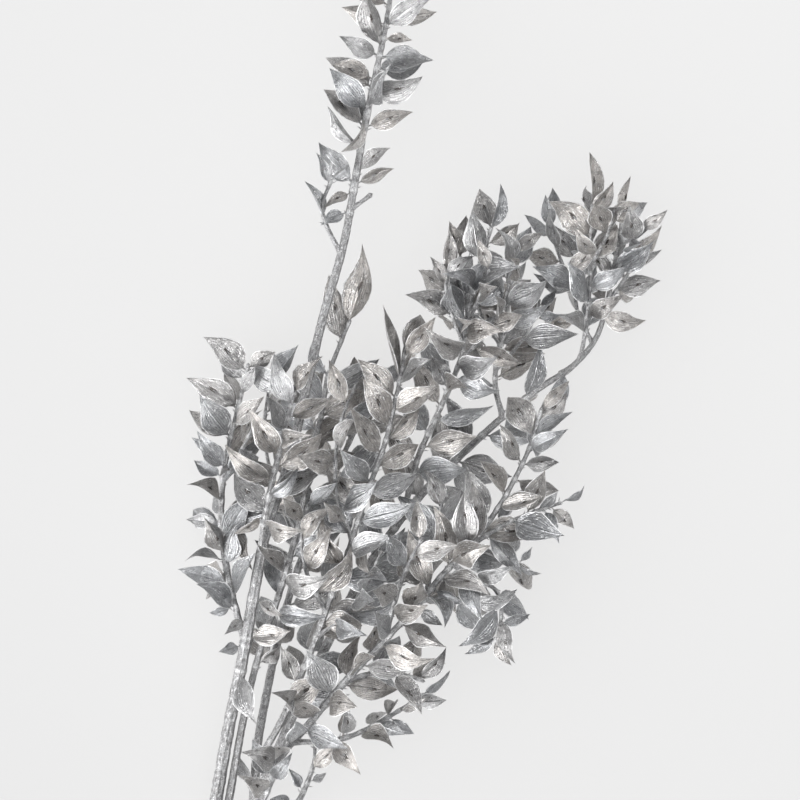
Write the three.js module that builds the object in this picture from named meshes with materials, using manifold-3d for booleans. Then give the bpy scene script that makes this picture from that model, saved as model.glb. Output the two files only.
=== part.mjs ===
// A silver-painted dried ruscus stem, laid on its back: one woody stalk, the
// leader that it runs on into, and the branches and twigs that carry the blades.
// Millimetres, +Z up. The surface that it lies on is z = 0, and the origin is the
// small flat on the underside of the stalk, close to its cut end.
import * as THREE from "three";
import Module from "manifold-3d";

const wasm = await Module();
wasm.setup();

// ---- driving dimensions -------------------------------------------------------

const SEED = 3143;
const SEAT_GAP = 0.3; // between a branch and the wood that carries it
const RING_STEP = 26; // distance between the rings of a stem
const THICK_WOOD = 1.9; // stems over this radius get more sides
const FINEST = 0.004; // points closer than this are merged

// The slanting cut that took the stem off the shrub: a box that is cut away
const CUT = { size: [40, 20, 40], slant: -0.6, turn: -0.15, at: [-2, -12.5, 4] };
const FLOOR = [60, 60, 10]; // what is cut off below the small flat of the stalk

// A blade: a leaf-like flattened shoot with a folded rib and a spine at its tip
const BLADE = {
  length: 26,
  slimness: [0.48, 0.68], // width over length, up to that length
  belly: [0.7, 1.05], // how fast it widens from the root, and narrows to the tip
  neck: 1.8, // from the bark to where the blade widens
  sunk: 0.6, // how deep the root sits in the wood, in radii
  rib: 1.3, // thickness along the middle
  fold: [0.12, 0.7], // radians that each half rises from flat
  foldedUp: 0.75, // share of the blades whose halves rise
  bow: [-0.08, 0.14], // rise of the middle over the length
  twist: 0.6, // most turn from root to tip, radians
  straightAt: 0.35, // where along the blade the twist is nought
  stations: [0.26, 0.62],
};

// How the blades stand round a shoot
const STAND = {
  crowding: 1.09, // stretches every pitch
  pitchSpread: [0.85, 1.15],
  sizeSpread: [0.85, 1.1],
  old: 1.05, // size at the foot of a leafy stretch
  younger: 0.3, // how much smaller at its tip
  young: 40, // length of the tip that closes up
  closing: 1.5, // how late it does so
  open: [0.75, 1.35], // radians from the shoot's own direction
  openAtTip: [0.35, 0.8],
  spread: 0.95, // most turn away from the two flanks
  roll: 0.6, // most turn about the blade's own axis
  toLight: 0.7, // how far the faces turn up
  tries: 14,
  wider: 6, // tries that double the spread
  firstShrink: 9,
  shrink: 0.82,
  lift: 2.5, // height that a single blade gives way by
  liftRoll: 0.1, // radians of roll for each mm of it
};

// Clear distances that keep one blade out of the next
const CLEAR = {
  own: 2.5, other: 3.1, ownWood: 0.4, floor: 0.35, restingTip: -0.05, cell: 7.5,
  woodStep: 3, // between the points that stand for a stem
  root: 0.3, // the part of a blade that may touch its own node
};

// ---- the plant ------------------------------------------------------------------
// path: x, y, z, radius along the axis. leafy: the stretches that bear blades: from
// and to, measured back from the tip, the pitch, and the size of the blades against
// a full one. placed: single blades, as root x, y, then tip x, y, z, then the roll.

const PLANT = [
  {
    name: "main_stem",
    on: null,
    shoots: [
      {
        path: [
          [-3, -15, 3.9, 4.4], [0, 0, 3.9, 4.4], [4, 22, 4.3, 4.3], [10, 55, 6.5, 4.3],
          [16, 82, 9.5, 4.1], [21, 105, 12.8, 3.8], [26.5, 135, 17.5, 3.4], [32.4, 170.5, 24, 3.1],
          [39, 207, 30.5, 2.95], [46, 240.5, 36, 2.8], [52, 274, 42, 2.65], [59, 308, 46, 2.5],
          [68.5, 335, 49.5, 2.4], [77.5, 372, 53, 2.2], [86.5, 410, 56, 2.1], [97, 447, 58, 1.9],
          [103, 480, 58.5, 1.7], [108, 508, 58.5, 1.5], [113.5, 534, 58, 1.3], [118, 556, 57, 1.1],
          [121.5, 580, 55.5, 0.9], [123, 603, 54, 0.7],
        ],
        leafy: [[98, 0, 9, 1]],
        placed: [
          [121, 561.5, 143.5, 561, 60, 0.1], [117.5, 550, 130.5, 548.5, 66, -0.4],
          [117, 541, 141, 537.5, 63, 0.5], [115, 534, 136.5, 536.5, 51, 0],
          [111.5, 520.5, 136.5, 527.5, 61, -0.2], [108, 505.5, 130.5, 513, 64, 0.3],
          [103.5, 482, 120, 495.5, 64, -0.3], [103, 478, 121.5, 486.5, 56, 0.3],
          [118, 556.5, 96.5, 566, 57, 0.1], [115, 541, 95, 550, 64, -0.3],
          [112.5, 530, 91, 538, 54, 0.2], [107, 513, 90.5, 534.5, 62, -0.2],
          [106.5, 506, 86, 526, 52, 0.3], [104, 495, 90.5, 516, 60, 0.6],
          [106, 512, 97.5, 491, 68, 0.2], [101.5, 477, 83.5, 496.5, 60, -0.2],
          [100.5, 474, 88, 466, 66, 0.6], [99, 462, 86, 458, 62, 0.2],
          [46, 235, 54, 207.5, 46, 0.1], [48, 252, 70, 254, 50, -0.3],
          [45, 246, 35, 244, 46, 0.4], [51, 272, 66, 262, 52, 0.2],
          [49.5, 262, 37, 254, 50, 0.5], [113, 533, 100, 553, 66, 0.4],
        ],
      },
      {
        path: [[95.7, 442.5, 57.8, 1.1], [88, 458, 62, 1], [86.5, 466, 63, 0.9], [91, 478.5, 63, 0.7]],
        leafy: [],
        placed: [[87.5, 459, 78.5, 478, 66, 1.3], [90, 476, 85, 492, 68, 0.2], [91, 478, 100, 486, 66, 0.6]],
      },
      {
        path: [[101, 465, 58.3, 1], [106.5, 468.5, 61, 0.9], [110.5, 471.5, 62, 1.2]],
        leafy: [],
        placed: [],
      },
    ],
  },
  {
    name: "left_twig",
    on: "main_stem",
    shoots: [
      {
        path: [
          [47.5, 248, 37.3, 1.7], [42, 266, 35, 1.6], [38, 283, 32, 1.5], [35, 304, 29, 1.4],
          [35.5, 328.5, 28, 1.3], [39.5, 351.5, 29, 1.1], [44.5, 371, 30, 0.9], [48.5, 388, 31, 0.7],
        ],
        leafy: [[126, 0, 6.5, 0.9]],
        placed: [
          [46.5, 384, 27.5, 403.5, 38, 0.2], [43, 368, 18.5, 382.5, 34, -0.2],
          [40.5, 351.5, 17, 364, 24, 0.2], [38, 342.5, 19.5, 349.5, 34, -0.3],
          [36, 331, 20, 339, 22, 0.3], [35, 310, 16.5, 309.5, 26, -0.2],
          [36, 289, 17, 292, 34, 1], [37, 284, 28, 269, 32, 0.3],
          [42, 266, 29, 262, 34, -0.2], [35.5, 318, 25, 321, 0, 0.2],
          [38.5, 280, 25, 283, 8, 0.2], [44, 370, 35, 383, 4, 0.2],
          [37, 306, 50, 284, 36, 0.3], [48, 386, 69, 373.5, 38, 0.3],
        ],
      },
      {
        path: [[36, 332, 28.3, 0.9], [46, 346, 36, 0.8], [52, 358, 40, 0.6]],
        leafy: [[30, 0, 7, 0.85]],
        placed: [],
      },
      {
        path: [[35.5, 300, 29.5, 0.9], [45, 316, 33, 0.8], [51, 336, 35, 0.6]],
        leafy: [[30, 0, 7, 1]],
        placed: [],
      },
    ],
  },
  {
    name: "front_twig",
    on: "main_stem",
    shoots: [
      {
        path: [
          [55.5, 293, 44.5, 1.5], [57.5, 310, 53, 1.4], [62, 331, 59, 1.3], [66.5, 349, 62, 1.1],
          [70.5, 365, 64, 0.9], [74, 379, 65, 0.7],
        ],
        leafy: [[74, 0, 6.5, 1]],
        placed: [[58.5, 312, 42, 305, 60, -0.3], [60, 321, 74, 336, 62, 0.3]],
      },
    ],
  },
  {
    name: "second_branch",
    on: "main_stem",
    shoots: [
      {
        path: [
          [20.3, 101, 12.2, 2.3], [27, 114, 12.5, 2.2], [32.5, 138, 15.5, 2.1], [38.8, 170.5, 21, 2],
          [46.5, 211.5, 28, 1.75], [54, 242, 33, 1.55], [62.5, 267, 36, 1.5], [70, 292, 38, 1.4],
          [76, 316, 39, 1.3], [80, 340, 39.5, 1.3], [85.5, 362, 40, 1.2], [89, 382, 41, 1.1],
          [95, 398, 43, 1], [100, 410, 45, 0.8],
        ],
        leafy: [[168, 24, 7, 1]],
        placed: [
          [99, 407, 109.5, 446.5, 52, 0.1], [95.5, 399, 88, 432.5, 48, 0.3],
          [49, 222, 36, 226, 28, 0.2], [52, 236, 66, 247, 30, 0.2],
        ],
      },
      {
        path: [
          [73, 304, 38.5, 1], [64, 322, 34, 0.9], [58, 342, 32, 0.8], [57, 362, 31, 0.7], [60, 382, 31, 0.6],
        ],
        leafy: [[72, 0, 7, 1]],
        placed: [],
      },
    ],
  },
  {
    name: "back_branch",
    on: "main_stem",
    shoots: [
      {
        path: [
          [13, 68, 7.8, 2.4], [22, 82, 7.5, 2.4], [33, 98, 8, 2.3], [42, 120, 9, 2.3],
          [47.8, 145, 10.5, 2.25], [50.5, 170, 12, 2.2], [52.5, 195, 13.5, 2.1], [57, 220, 15, 2],
          [63, 248, 16.5, 1.8], [73, 284, 18, 1.6], [86, 317, 19, 1.4], [98, 346, 20, 1.2],
          [108, 366, 20, 1], [117, 384, 20, 0.8],
        ],
        leafy: [[158, 0, 9, 1]],
        placed: [
          [50, 173, 40, 190, 18, 0.2], [51.5, 181, 67, 192, 4, 0.2],
          [86, 317, 97, 305, 0, 0.2], [64, 252, 52, 262, 0, 0.3], [112, 374, 124, 386, 0, 0.2],
        ],
      },
      {
        path: [[84, 313, 18.9, 1], [76, 332, 17, 0.9], [72, 352, 16, 0.8], [73, 372, 16, 0.6]],
        leafy: [[52, 0, 7, 1]],
        placed: [],
      },
    ],
  },
  {
    name: "middle_branch",
    on: "back_branch",
    shoots: [
      {
        path: [
          [51.7, 184.5, 12.9, 1.8], [58, 195, 18, 1.7], [65, 207.5, 23, 1.7], [73, 226, 30, 1.6],
          [83, 251, 37, 1.5], [91.5, 274, 42.5, 1.4], [98.5, 292, 46, 1.4], [105, 313, 49.5, 1.3],
          [112, 333, 52, 1.2], [118, 350, 54, 1.1], [122, 367, 55, 1], [125.5, 383, 55, 0.8],
          [127.5, 397, 54, 0.7],
        ],
        leafy: [[196, 0, 7, 1]],
        placed: [
          [70, 217, 87.5, 231.5, 40, 0.1], [71, 227, 66, 246, 38, 0.4],
          [124, 380, 117, 418, 58, 1.2], [127, 392, 143, 411, 58, 0.3],
        ],
      },
      {
        path: [[88, 264, 40, 1], [79, 282, 46, 0.9], [76, 300, 50, 0.8], [79, 318, 53, 0.7]],
        leafy: [[48, 0, 7, 1]],
        placed: [],
      },
      {
        path: [
          [101, 301, 47.4, 1], [94, 320, 52, 0.9], [93, 340, 55, 0.8], [96, 360, 56, 0.7],
          [103, 378, 55, 0.6],
        ],
        leafy: [[72, 0, 7, 1]],
        placed: [],
      },
      {
        path: [[83, 251, 37, 1], [97, 262, 45, 0.9], [108, 277, 51, 0.8], [116, 295, 55, 0.7]],
        leafy: [[46, 0, 7, 1]],
        placed: [],
      },
    ],
  },
  {
    name: "front_branch",
    on: "main_stem",
    shoots: [
      {
        path: [
          [18.6, 94, 11.2, 2], [24.5, 107, 16, 1.9], [34, 126, 20, 1.85], [45, 148, 24, 1.8],
          [56.5, 170, 28, 1.75], [65, 190, 32, 1.7], [79, 207, 37, 1.7], [97.5, 229, 43, 1.6],
          [118, 251, 49, 1.5], [133, 267, 53, 1.4], [146, 283, 56, 1.35], [160, 298, 58, 1.3],
          [172, 314, 58.5, 1.2], [182, 331, 57.5, 1.1], [190, 348, 55, 0.9], [195.5, 366, 52, 0.7],
        ],
        leafy: [[244, 0, 7, 1]],
        placed: [
          [195, 363, 195, 340, 46, 0.4], [189.5, 346, 207, 353, 56, 0.2],
          [60, 178, 70, 192, 36, 0.2], [133, 267, 146, 258, 56, 0.2],
          [118, 251, 132, 240, 52, 0.3], [146, 283, 152, 263, 50, 0.3],
          [140, 276, 156, 268, 58, 0.2], [185, 337, 204, 340, 50, 0.3],
          [191, 352, 210, 365, 58, 0.3], [195, 364, 209, 380, 54, 0.3],
        ],
      },
      {
        path: [
          [158, 296, 57.7, 1.1], [168, 303, 60, 1], [180, 310, 61, 0.9], [194, 315.5, 60, 0.8],
          [205, 319, 58, 0.6],
        ],
        leafy: [[48, 14, 7, 1]],
        placed: [
          [205, 319.5, 217, 327.5, 58, 0.8], [199, 318, 212, 305.5, 56, 0.2],
          [196, 316.5, 205, 300, 62, 0.2], [193, 315.5, 203, 325, 64, 0.4],
        ],
      },
      {
        path: [
          [151, 288.5, 56.8, 1.1], [163, 281, 56, 1], [173, 275, 53, 0.9], [175.5, 262, 50, 0.8],
          [173, 250, 47, 0.6],
        ],
        leafy: [[54, 0, 6.5, 1]],
        placed: [
          [173, 252, 158, 241.5, 44, 0.2], [174, 254, 179, 236.5, 46, 0.2],
          [175, 258, 190, 262.5, 46, 0.4], [172, 249, 159, 250.5, 50, 0.2],
        ],
      },
      {
        path: [[160, 297.5, 58, 0.9], [174, 292, 54, 0.8], [184, 288, 50, 0.6]],
        leafy: [[12, 0, 7, 1]],
        placed: [[184, 288.5, 190.5, 297, 52, 0.4], [182, 289.5, 196, 283.5, 48, 0.2]],
      },
      {
        path: [[97.5, 229, 43, 1.1], [110, 233, 43, 1], [124, 233, 42, 0.9], [137, 229, 41, 0.7]],
        leafy: [[40, 0, 7, 1]],
        placed: [[127, 232.5, 135, 254, 48, 0.3], [134, 230, 149, 245, 44, 0.2]],
      },
      {
        path: [[118, 251, 49, 1.1], [122, 268, 55, 1], [128, 286, 60, 0.9], [136, 302, 63, 0.7]],
        leafy: [[50, 0, 7, 1]],
        placed: [],
      },
      {
        path: [[138, 273, 54.2, 1], [141, 288, 50, 0.9], [143, 305, 47, 0.8], [147, 322, 46, 0.6]],
        leafy: [[46, 0, 7, 1]],
        placed: [],
      },
      {
        path: [[136, 270.5, 53.6, 1], [150, 272, 54, 0.9], [162, 268, 52, 0.7]],
        leafy: [[24, 0, 7, 1]],
        placed: [],
      },
    ],
  },
  {
    name: "low_right_twig",
    on: "front_branch",
    shoots: [
      {
        path: [
          [71.5, 198, 34.4, 1.3], [83, 198, 35, 1.2], [95, 199.5, 36, 1.2], [105, 203, 37, 1.1],
          [117, 209.5, 37, 1], [128, 216, 36, 0.9], [137, 222, 35, 0.7],
        ],
        leafy: [[52, 0, 6.5, 0.75]],
        placed: [
          [136.5, 221.5, 151, 233, 36, 0.3], [119, 211, 132.5, 202, 34, 0.3],
          [112, 206.5, 127, 203, 42, -0.2], [96, 199.5, 98, 215, 42, 0.3],
          [128, 216, 134, 236, 44, 0.3],
        ],
      },
    ],
  },
  {
    name: "low_twig",
    on: "front_branch",
    shoots: [
      {
        path: [
          [44.5, 147, 23.8, 1.5], [54, 152, 22, 1.4], [64, 157, 22, 1.4], [72.5, 165, 23, 1.3],
          [78, 176, 24, 1.1], [81.5, 187, 25, 0.9], [82, 197, 25, 0.7],
        ],
        leafy: [],
        placed: [
          [80, 179.5, 71.5, 197, 30, 0.2], [81, 182, 95, 197, 32, 0.2],
          [76, 171, 69, 184, 28, 0.3], [78, 176, 88, 181, 24, 0.2],
          [82, 195, 82, 210, 28, 0.2], [70, 162, 60, 170, 26, 0.3], [74, 167, 82, 163, 20, 0.3],
        ],
      },
    ],
  },
  {
    name: "right_branch",
    on: "main_stem",
    shoots: [
      {
        path: [
          [15, 78, 9, 2.5], [22, 90, 9.5, 2.45], [30, 107, 10.5, 2.4], [42, 147, 14.5, 2.4],
          [51.5, 168, 18, 2.35], [61, 188, 20, 2.3], [73, 215, 21.5, 2.2], [87, 244, 22.5, 2.1],
          [101, 272, 23.5, 2], [117, 298, 24.5, 1.9], [138, 324.5, 25.5, 1.8], [160, 346, 26.5, 1.7],
          [180, 364, 27.5, 1.6], [197, 377, 29, 1.5], [212, 387, 31, 1.4], [223, 400, 34, 1.3],
          [228.5, 416, 38, 1.2], [231, 430, 41, 1.1], [234, 446, 43, 0.9], [236, 460, 44, 0.7],
        ],
        leafy: [[286, 104, 8.5, 1], [32, 0, 6, 0.85]],
        placed: [
          [209, 385, 200.5, 362, 24, 0.2], [178, 362.5, 190, 350, 0, 0.2],
          [152, 338.5, 163, 326, 0, 0.2], [236, 461, 241, 482, 44, 0.4],
        ],
      },
      {
        path: [
          [206, 383, 30.2, 1.2], [214, 389, 38, 1.1], [217.5, 402, 42, 1], [219.5, 420, 45, 0.9],
          [220, 440, 48, 0.8], [221, 468, 50, 0.7],
        ],
        leafy: [[64, 0, 6.5, 0.85]],
        placed: [
          [221, 466, 221, 493, 54, 0.3], [220, 452, 201, 471, 50, 0.2], [221, 462, 232, 478, 56, 0.3],
        ],
      },
      {
        path: [[229.5, 420, 38.8, 0.9], [236, 428, 38, 0.8], [241, 436, 38, 0.6]],
        leafy: [[28, 0, 6, 0.85]],
        placed: [
          [240.5, 435, 256, 458, 38, 0.2], [239, 433, 256, 445, 34, 0.3], [237, 429, 247, 426, 0, 0.2],
        ],
      },
      {
        path: [[231.5, 433, 41.4, 0.9], [240, 446, 50, 0.8], [246, 458, 56, 0.6]],
        leafy: [[32, 0, 6, 0.85]],
        placed: [],
      },
      {
        path: [[219.5, 418, 44.8, 0.9], [209, 432, 42, 0.8], [203, 448, 42, 0.7], [200, 460, 43, 0.6]],
        leafy: [[42, 0, 6, 0.85]],
        placed: [[202, 456, 197, 472.5, 44, 0.3]],
      },
      {
        path: [[220, 438, 47.8, 0.9], [227, 450, 56, 0.8], [231, 464, 61, 0.6]],
        leafy: [[32, 0, 6, 0.85]],
        placed: [],
      },
      {
        path: [[222, 398.5, 33.7, 0.9], [215, 414, 28, 0.8], [213, 432, 25, 0.7], [215, 448, 24, 0.6]],
        leafy: [[44, 0, 6.5, 0.85]],
        placed: [],
      },
    ],
  },
  {
    name: "head_branch",
    on: "right_branch",
    shoots: [
      {
        path: [
          [126, 310, 24.9, 1.5], [129.5, 324, 31, 1.4], [134, 341, 37, 1.3], [141, 357, 42, 1.25],
          [150, 377, 47, 1.2], [155.5, 392, 50, 1.1], [158, 410, 52, 1], [162, 428, 54, 0.9],
          [167, 444, 55, 0.8], [170.5, 456, 56, 0.7],
        ],
        leafy: [[140, 0, 7, 1]],
        placed: [
          [170, 454, 176, 477, 58, 0.3], [152, 381, 174, 373, 52, 0.2],
          [149, 375, 140, 392, 50, 0.4],
        ],
      },
      {
        path: [[156.5, 399, 50.8, 0.9], [151, 412, 55, 0.8], [148, 424, 57, 0.7], [148, 434, 57, 0.6]],
        leafy: [[36, 0, 6, 0.85]],
        placed: [
          [149, 419, 137, 424, 56, 0.2], [148, 432, 150.5, 454, 58, 0.3], [148, 426, 140, 441, 60, 0.3],
        ],
      },
      {
        path: [[159, 414, 52.4, 0.9], [155, 428, 48, 0.8], [155, 442, 46, 0.6]],
        leafy: [[28, 0, 6, 0.85]],
        placed: [[155, 440, 158.5, 462.5, 46, 0.3]],
      },
      {
        path: [
          [155, 390.5, 49.7, 0.9], [167, 402, 54, 0.8], [176, 416, 56, 0.8], [180, 432, 56, 0.7],
          [182, 446, 55, 0.6],
        ],
        leafy: [[56, 0, 6, 0.85]],
        placed: [],
      },
      {
        path: [[157.5, 406, 51.5, 0.9], [164, 420, 60, 0.8], [169, 434, 65, 0.6]],
        leafy: [[32, 0, 6, 0.85]],
        placed: [],
      },
    ],
  },
  {
    name: "inner_twig",
    on: "right_branch",
    shoots: [
      {
        path: [
          [177, 361.3, 27.3, 1.3], [173, 377, 33, 1.2], [174, 392, 36, 1.1], [178, 408, 37, 1],
          [179.5, 424, 37, 0.9], [179, 438, 37, 0.7],
        ],
        leafy: [[64, 0, 6.5, 1]],
        placed: [],
      },
      {
        path: [[173.5, 386, 35, 0.9], [183, 396, 40, 0.8], [191, 408, 42, 0.7], [195, 420, 42, 0.6]],
        leafy: [[36, 0, 6, 1]],
        placed: [[193, 413, 206, 412, 42, 0.3], [194, 417, 204, 425, 42, 0.3]],
      },
      {
        path: [[175.5, 398, 36.4, 0.9], [166, 412, 33, 0.8], [163, 428, 32, 0.7]],
        leafy: [[34, 0, 6, 1]],
        placed: [],
      },
    ],
  },
];

const SILVER = { color: 0xa9a9ab, roughness: 0.42, metalness: 0.7 };

// ---- small helpers --------------------------------------------------------------

const vec = (x, y, z) => new THREE.Vector3(x, y, z);

// A seeded stream of numbers between 0 and 1
function stream(seed) {
  let state = seed >>> 0;
  return () => {
    state = (state + 0x6d2b79f5) >>> 0;
    let mixed = Math.imul(state ^ (state >>> 15), state | 1);
    mixed ^= mixed + Math.imul(mixed ^ (mixed >>> 7), mixed | 61);
    return ((mixed ^ (mixed >>> 14)) >>> 0) / 4294967296;
  };
}

const random = stream(SEED);
const between = (low, high) => low + (high - low) * random();
const swing = (most) => between(-most, most);

function solidOf(points, faces) {
  const flat = new Float32Array(points.length * 3);
  points.forEach((point, index) => point.toArray(flat, index * 3));
  const triVerts = Uint32Array.from(faces.flat());
  return new wasm.Manifold(new wasm.Mesh({ numProp: 3, vertProperties: flat, triVerts }));
}

function solidOfGeometry(geometry) {
  const spots = geometry.attributes.position;
  const points = [];
  const seen = new Map();
  const place = [];
  for (let i = 0; i < spots.count; i += 1) {
    const point = vec(spots.getX(i), spots.getY(i), spots.getZ(i));
    const key = point.toArray().map((value) => value.toFixed(4)).join();
    if (!seen.has(key)) {
      seen.set(key, points.length);
      points.push(point);
    }
    place.push(seen.get(key));
  }
  const order = Array.from(geometry.index.array, (index) => place[index]);
  const faces = [];
  for (let i = 0; i < order.length; i += 3) faces.push(order.slice(i, i + 3));
  return solidOf(points, faces);
}

// ---- stems ----------------------------------------------------------------------

// Rings along a smooth curve through the path: axis point, radius, direction, length so far
function ringsOf(path) {
  const knots = path.map(([x, y, z]) => vec(x, y, z));
  const curve = new THREE.CatmullRomCurve3(knots, false, "centripetal");
  const spans = path.length - 1;
  const rings = [];
  for (let span = 0; span < spans; span += 1) {
    const reach = curve.points[span].distanceTo(curve.points[span + 1]);
    const count = Math.max(1, Math.round(reach / RING_STEP));
    for (let step = 0; step < count; step += 1) {
      const part = step / count;
      const radius = path[span][3] + (path[span + 1][3] - path[span][3]) * part;
      rings.push({ at: curve.getPoint((span + part) / spans), radius });
    }
  }
  rings.push({ at: curve.points[spans].clone(), radius: path[spans][3] });
  let length = 0;
  rings.forEach((ring, index) => {
    const before = rings[Math.max(0, index - 1)].at;
    const after = rings[Math.min(rings.length - 1, index + 1)].at;
    ring.along = after.clone().sub(before).normalize();
    length += ring.at.distanceTo(before);
    ring.length = length;
  });
  return rings;
}

// A turned frame on the stem: side lies level, up points away from the surface
function frameOf(along) {
  const side = along.clone().cross(vec(0, 0, 1)).normalize();
  const up = side.clone().cross(along).normalize();
  return { side, up };
}

function stemSolid(rings, extra = 0) {
  const sides = rings[0].radius > THICK_WOOD * 2 ? 8 : rings[0].radius > THICK_WOOD ? 6 : 5;
  const points = [rings[0].at.clone()];
  const faces = [];
  rings.forEach((ring) => {
    const { side, up } = frameOf(ring.along);
    for (let k = 0; k < sides; k += 1) {
      const turn = (2 * Math.PI * (k + 0.5)) / sides;
      const spot = ring.at.clone().addScaledVector(side, Math.sin(turn) * (ring.radius + extra));
      points.push(spot.addScaledVector(up, -Math.cos(turn) * (ring.radius + extra)));
    }
  });
  const last = rings[rings.length - 1];
  points.push(last.at.clone().addScaledVector(last.along, last.radius));
  const top = points.length - 1;
  for (let k = 0; k < sides; k += 1) {
    const next = (k + 1) % sides;
    faces.push([0, 1 + k, 1 + next]);
    for (let ring = 0; ring < rings.length - 1; ring += 1) {
      const low = 1 + ring * sides;
      const high = low + sides;
      faces.push([low + k, high + k, high + next], [low + k, high + next, low + next]);
    }
    const rim = 1 + (rings.length - 1) * sides;
    faces.push([rim + k, top, rim + next]);
  }
  return solidOf(points, faces);
}

// ---- blades ---------------------------------------------------------------------

// Half-width along the blade, 1 where it is widest
const bellyAt = (u) => u ** BLADE.belly[0] * (1 - u) ** BLADE.belly[1];
const widestAt = BLADE.belly[0] / (BLADE.belly[0] + BLADE.belly[1]);
const outline = (u) => bellyAt(u) / bellyAt(widestAt);

function bladePoint(blade, u, v, lift) {
  const turn = blade.twist * (u - BLADE.straightAt);
  const [cos, sin] = [Math.cos(turn), Math.sin(turn)];
  const side = blade.side.clone().multiplyScalar(cos).addScaledVector(blade.face, sin);
  const up = blade.face.clone().multiplyScalar(cos).addScaledVector(blade.side, -sin);
  const half = blade.halfWidth * outline(u) * v;
  return blade.root.clone()
    .addScaledVector(blade.along, blade.neck + blade.length * u)
    .addScaledVector(blade.face, blade.bow * blade.length * 4 * u * (1 - u))
    .addScaledVector(side, half * Math.cos(blade.fold))
    .addScaledVector(up, Math.abs(half) * Math.sin(blade.fold) + lift);
}

// Near the root a blade is a flat-sided keel, further out a folded lens
function bladeSolid(blade) {
  const rise = (BLADE.rib / 2) * (blade.fold < 0 ? 1 : -1);
  const [inner, outer] = BLADE.stations;
  const points = [
    blade.root.clone().addScaledVector(blade.along, -BLADE.sunk * blade.bark),
    bladePoint(blade, inner, -1, 0), bladePoint(blade, inner, 1, 0), bladePoint(blade, inner, 0, rise),
    bladePoint(blade, outer, -1, 0), bladePoint(blade, outer, 1, 0),
    bladePoint(blade, outer, 0, rise), bladePoint(blade, outer, 0, -rise),
    bladePoint(blade, 1, 0, 0),
  ];
  const faces = [
    [0, 1, 3], [0, 3, 2], [1, 4, 6], [1, 6, 3], [3, 6, 5], [3, 5, 2], [4, 8, 6], [6, 8, 5],
    [0, 2, 1], [1, 2, 7], [1, 7, 4], [2, 5, 7], [4, 7, 8], [7, 5, 8],
  ];
  const facing = blade.fold < 0 ? [0, 2, 1] : [0, 1, 2];
  return solidOf(points, faces.map((face) => facing.map((corner) => face[corner])));
}

// The blade's own frame from the direction that it points in
function setFrame(blade, shootAlong, roll) {
  const face = shootAlong.clone().cross(blade.along);
  if (face.z < 0) face.negate();
  face.normalize().addScaledVector(vec(0, 0, 1), STAND.toLight);
  face.addScaledVector(blade.along, -face.dot(blade.along)).normalize();
  const side = blade.along.clone().cross(face);
  blade.face = face.clone().multiplyScalar(Math.cos(roll)).addScaledVector(side, Math.sin(roll));
  blade.side = blade.along.clone().cross(blade.face);
}

// ---- room for each blade --------------------------------------------------------

const crowd = new Map();
const cellOf = (value) => Math.floor(value / CLEAR.cell);
const keyOf = (x, y, z) => `${x},${y},${z}`;

function settle(point, mark) {
  const key = keyOf(cellOf(point.x), cellOf(point.y), cellOf(point.z));
  if (!crowd.has(key)) crowd.set(key, []);
  crowd.get(key).push({ point, ...mark });
}

function clearanceTo(other, mark) {
  if (other.node !== mark.node) return other.radius + CLEAR.other;
  if (other.inner || mark.inner) return 0;
  return other.wood ? other.radius + CLEAR.ownWood : CLEAR.own;
}

function isFree(point, mark) {
  for (let x = cellOf(point.x) - 1; x <= cellOf(point.x) + 1; x += 1) {
    for (let y = cellOf(point.y) - 1; y <= cellOf(point.y) + 1; y += 1) {
      for (let z = cellOf(point.z) - 1; z <= cellOf(point.z) + 1; z += 1) {
        const near = crowd.get(keyOf(x, y, z)) ?? [];
        if (near.some((other) => point.distanceTo(other.point) < clearanceTo(other, mark))) return false;
      }
    }
  }
  return true;
}

const SAMPLES_ALONG = [0.08, 0.2, 0.32, 0.44, 0.56, 0.68, 0.8, 0.9, 1];
const SAMPLES_ACROSS = [-1, -0.6, -0.2, 0.2, 0.6, 1];

function samplesOf(blade) {
  return SAMPLES_ALONG.flatMap((u) =>
    SAMPLES_ACROSS.map((v) => ({
      point: bladePoint(blade, u, v, 0),
      mark: { node: blade.node, radius: 0, wood: false, inner: u < CLEAR.root },
    })));
}

function takesRoom(blade, lowest) {
  const samples = samplesOf(blade);
  if (samples.some(({ point }) => point.z < lowest)) return false;
  if (!samples.every(({ point, mark }) => isFree(point, mark))) return false;
  samples.forEach(({ point, mark }) => settle(point, mark));
  return true;
}

// ---- growing --------------------------------------------------------------------

function newBlade(node, root, bark, length) {
  return {
    node, root, bark, length,
    neck: bark + BLADE.neck,
    halfWidth: (Math.min(length, BLADE.length) * between(...BLADE.slimness)) / 2,
    fold: between(...BLADE.fold) * (random() < BLADE.foldedUp ? 1 : -1),
    bow: between(...BLADE.bow),
    twist: swing(BLADE.twist),
  };
}

// The ring of a shoot that lies nearest to a place in plan, with the point between rings
function footOf(rings, x, y) {
  let best = null;
  for (let index = 0; index < rings.length - 1; index += 1) {
    const [from, to] = [rings[index], rings[index + 1]];
    for (let part = 0; part < 1; part += 0.1) {
      const at = from.at.clone().lerp(to.at, part);
      const off = Math.hypot(at.x - x, at.y - y);
      if (!best || off < best.off) best = { off, at, radius: from.radius, along: from.along };
    }
  }
  return best;
}

function pointAt(rings, length) {
  const index = Math.max(1, rings.findIndex((ring) => ring.length >= length));
  const [from, to] = [rings[index - 1], rings[index]];
  const part = (length - from.length) / (to.length - from.length);
  const along = to.at.clone().sub(from.at).normalize();
  return { at: from.at.clone().lerp(to.at, part), radius: from.radius, along };
}

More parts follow.
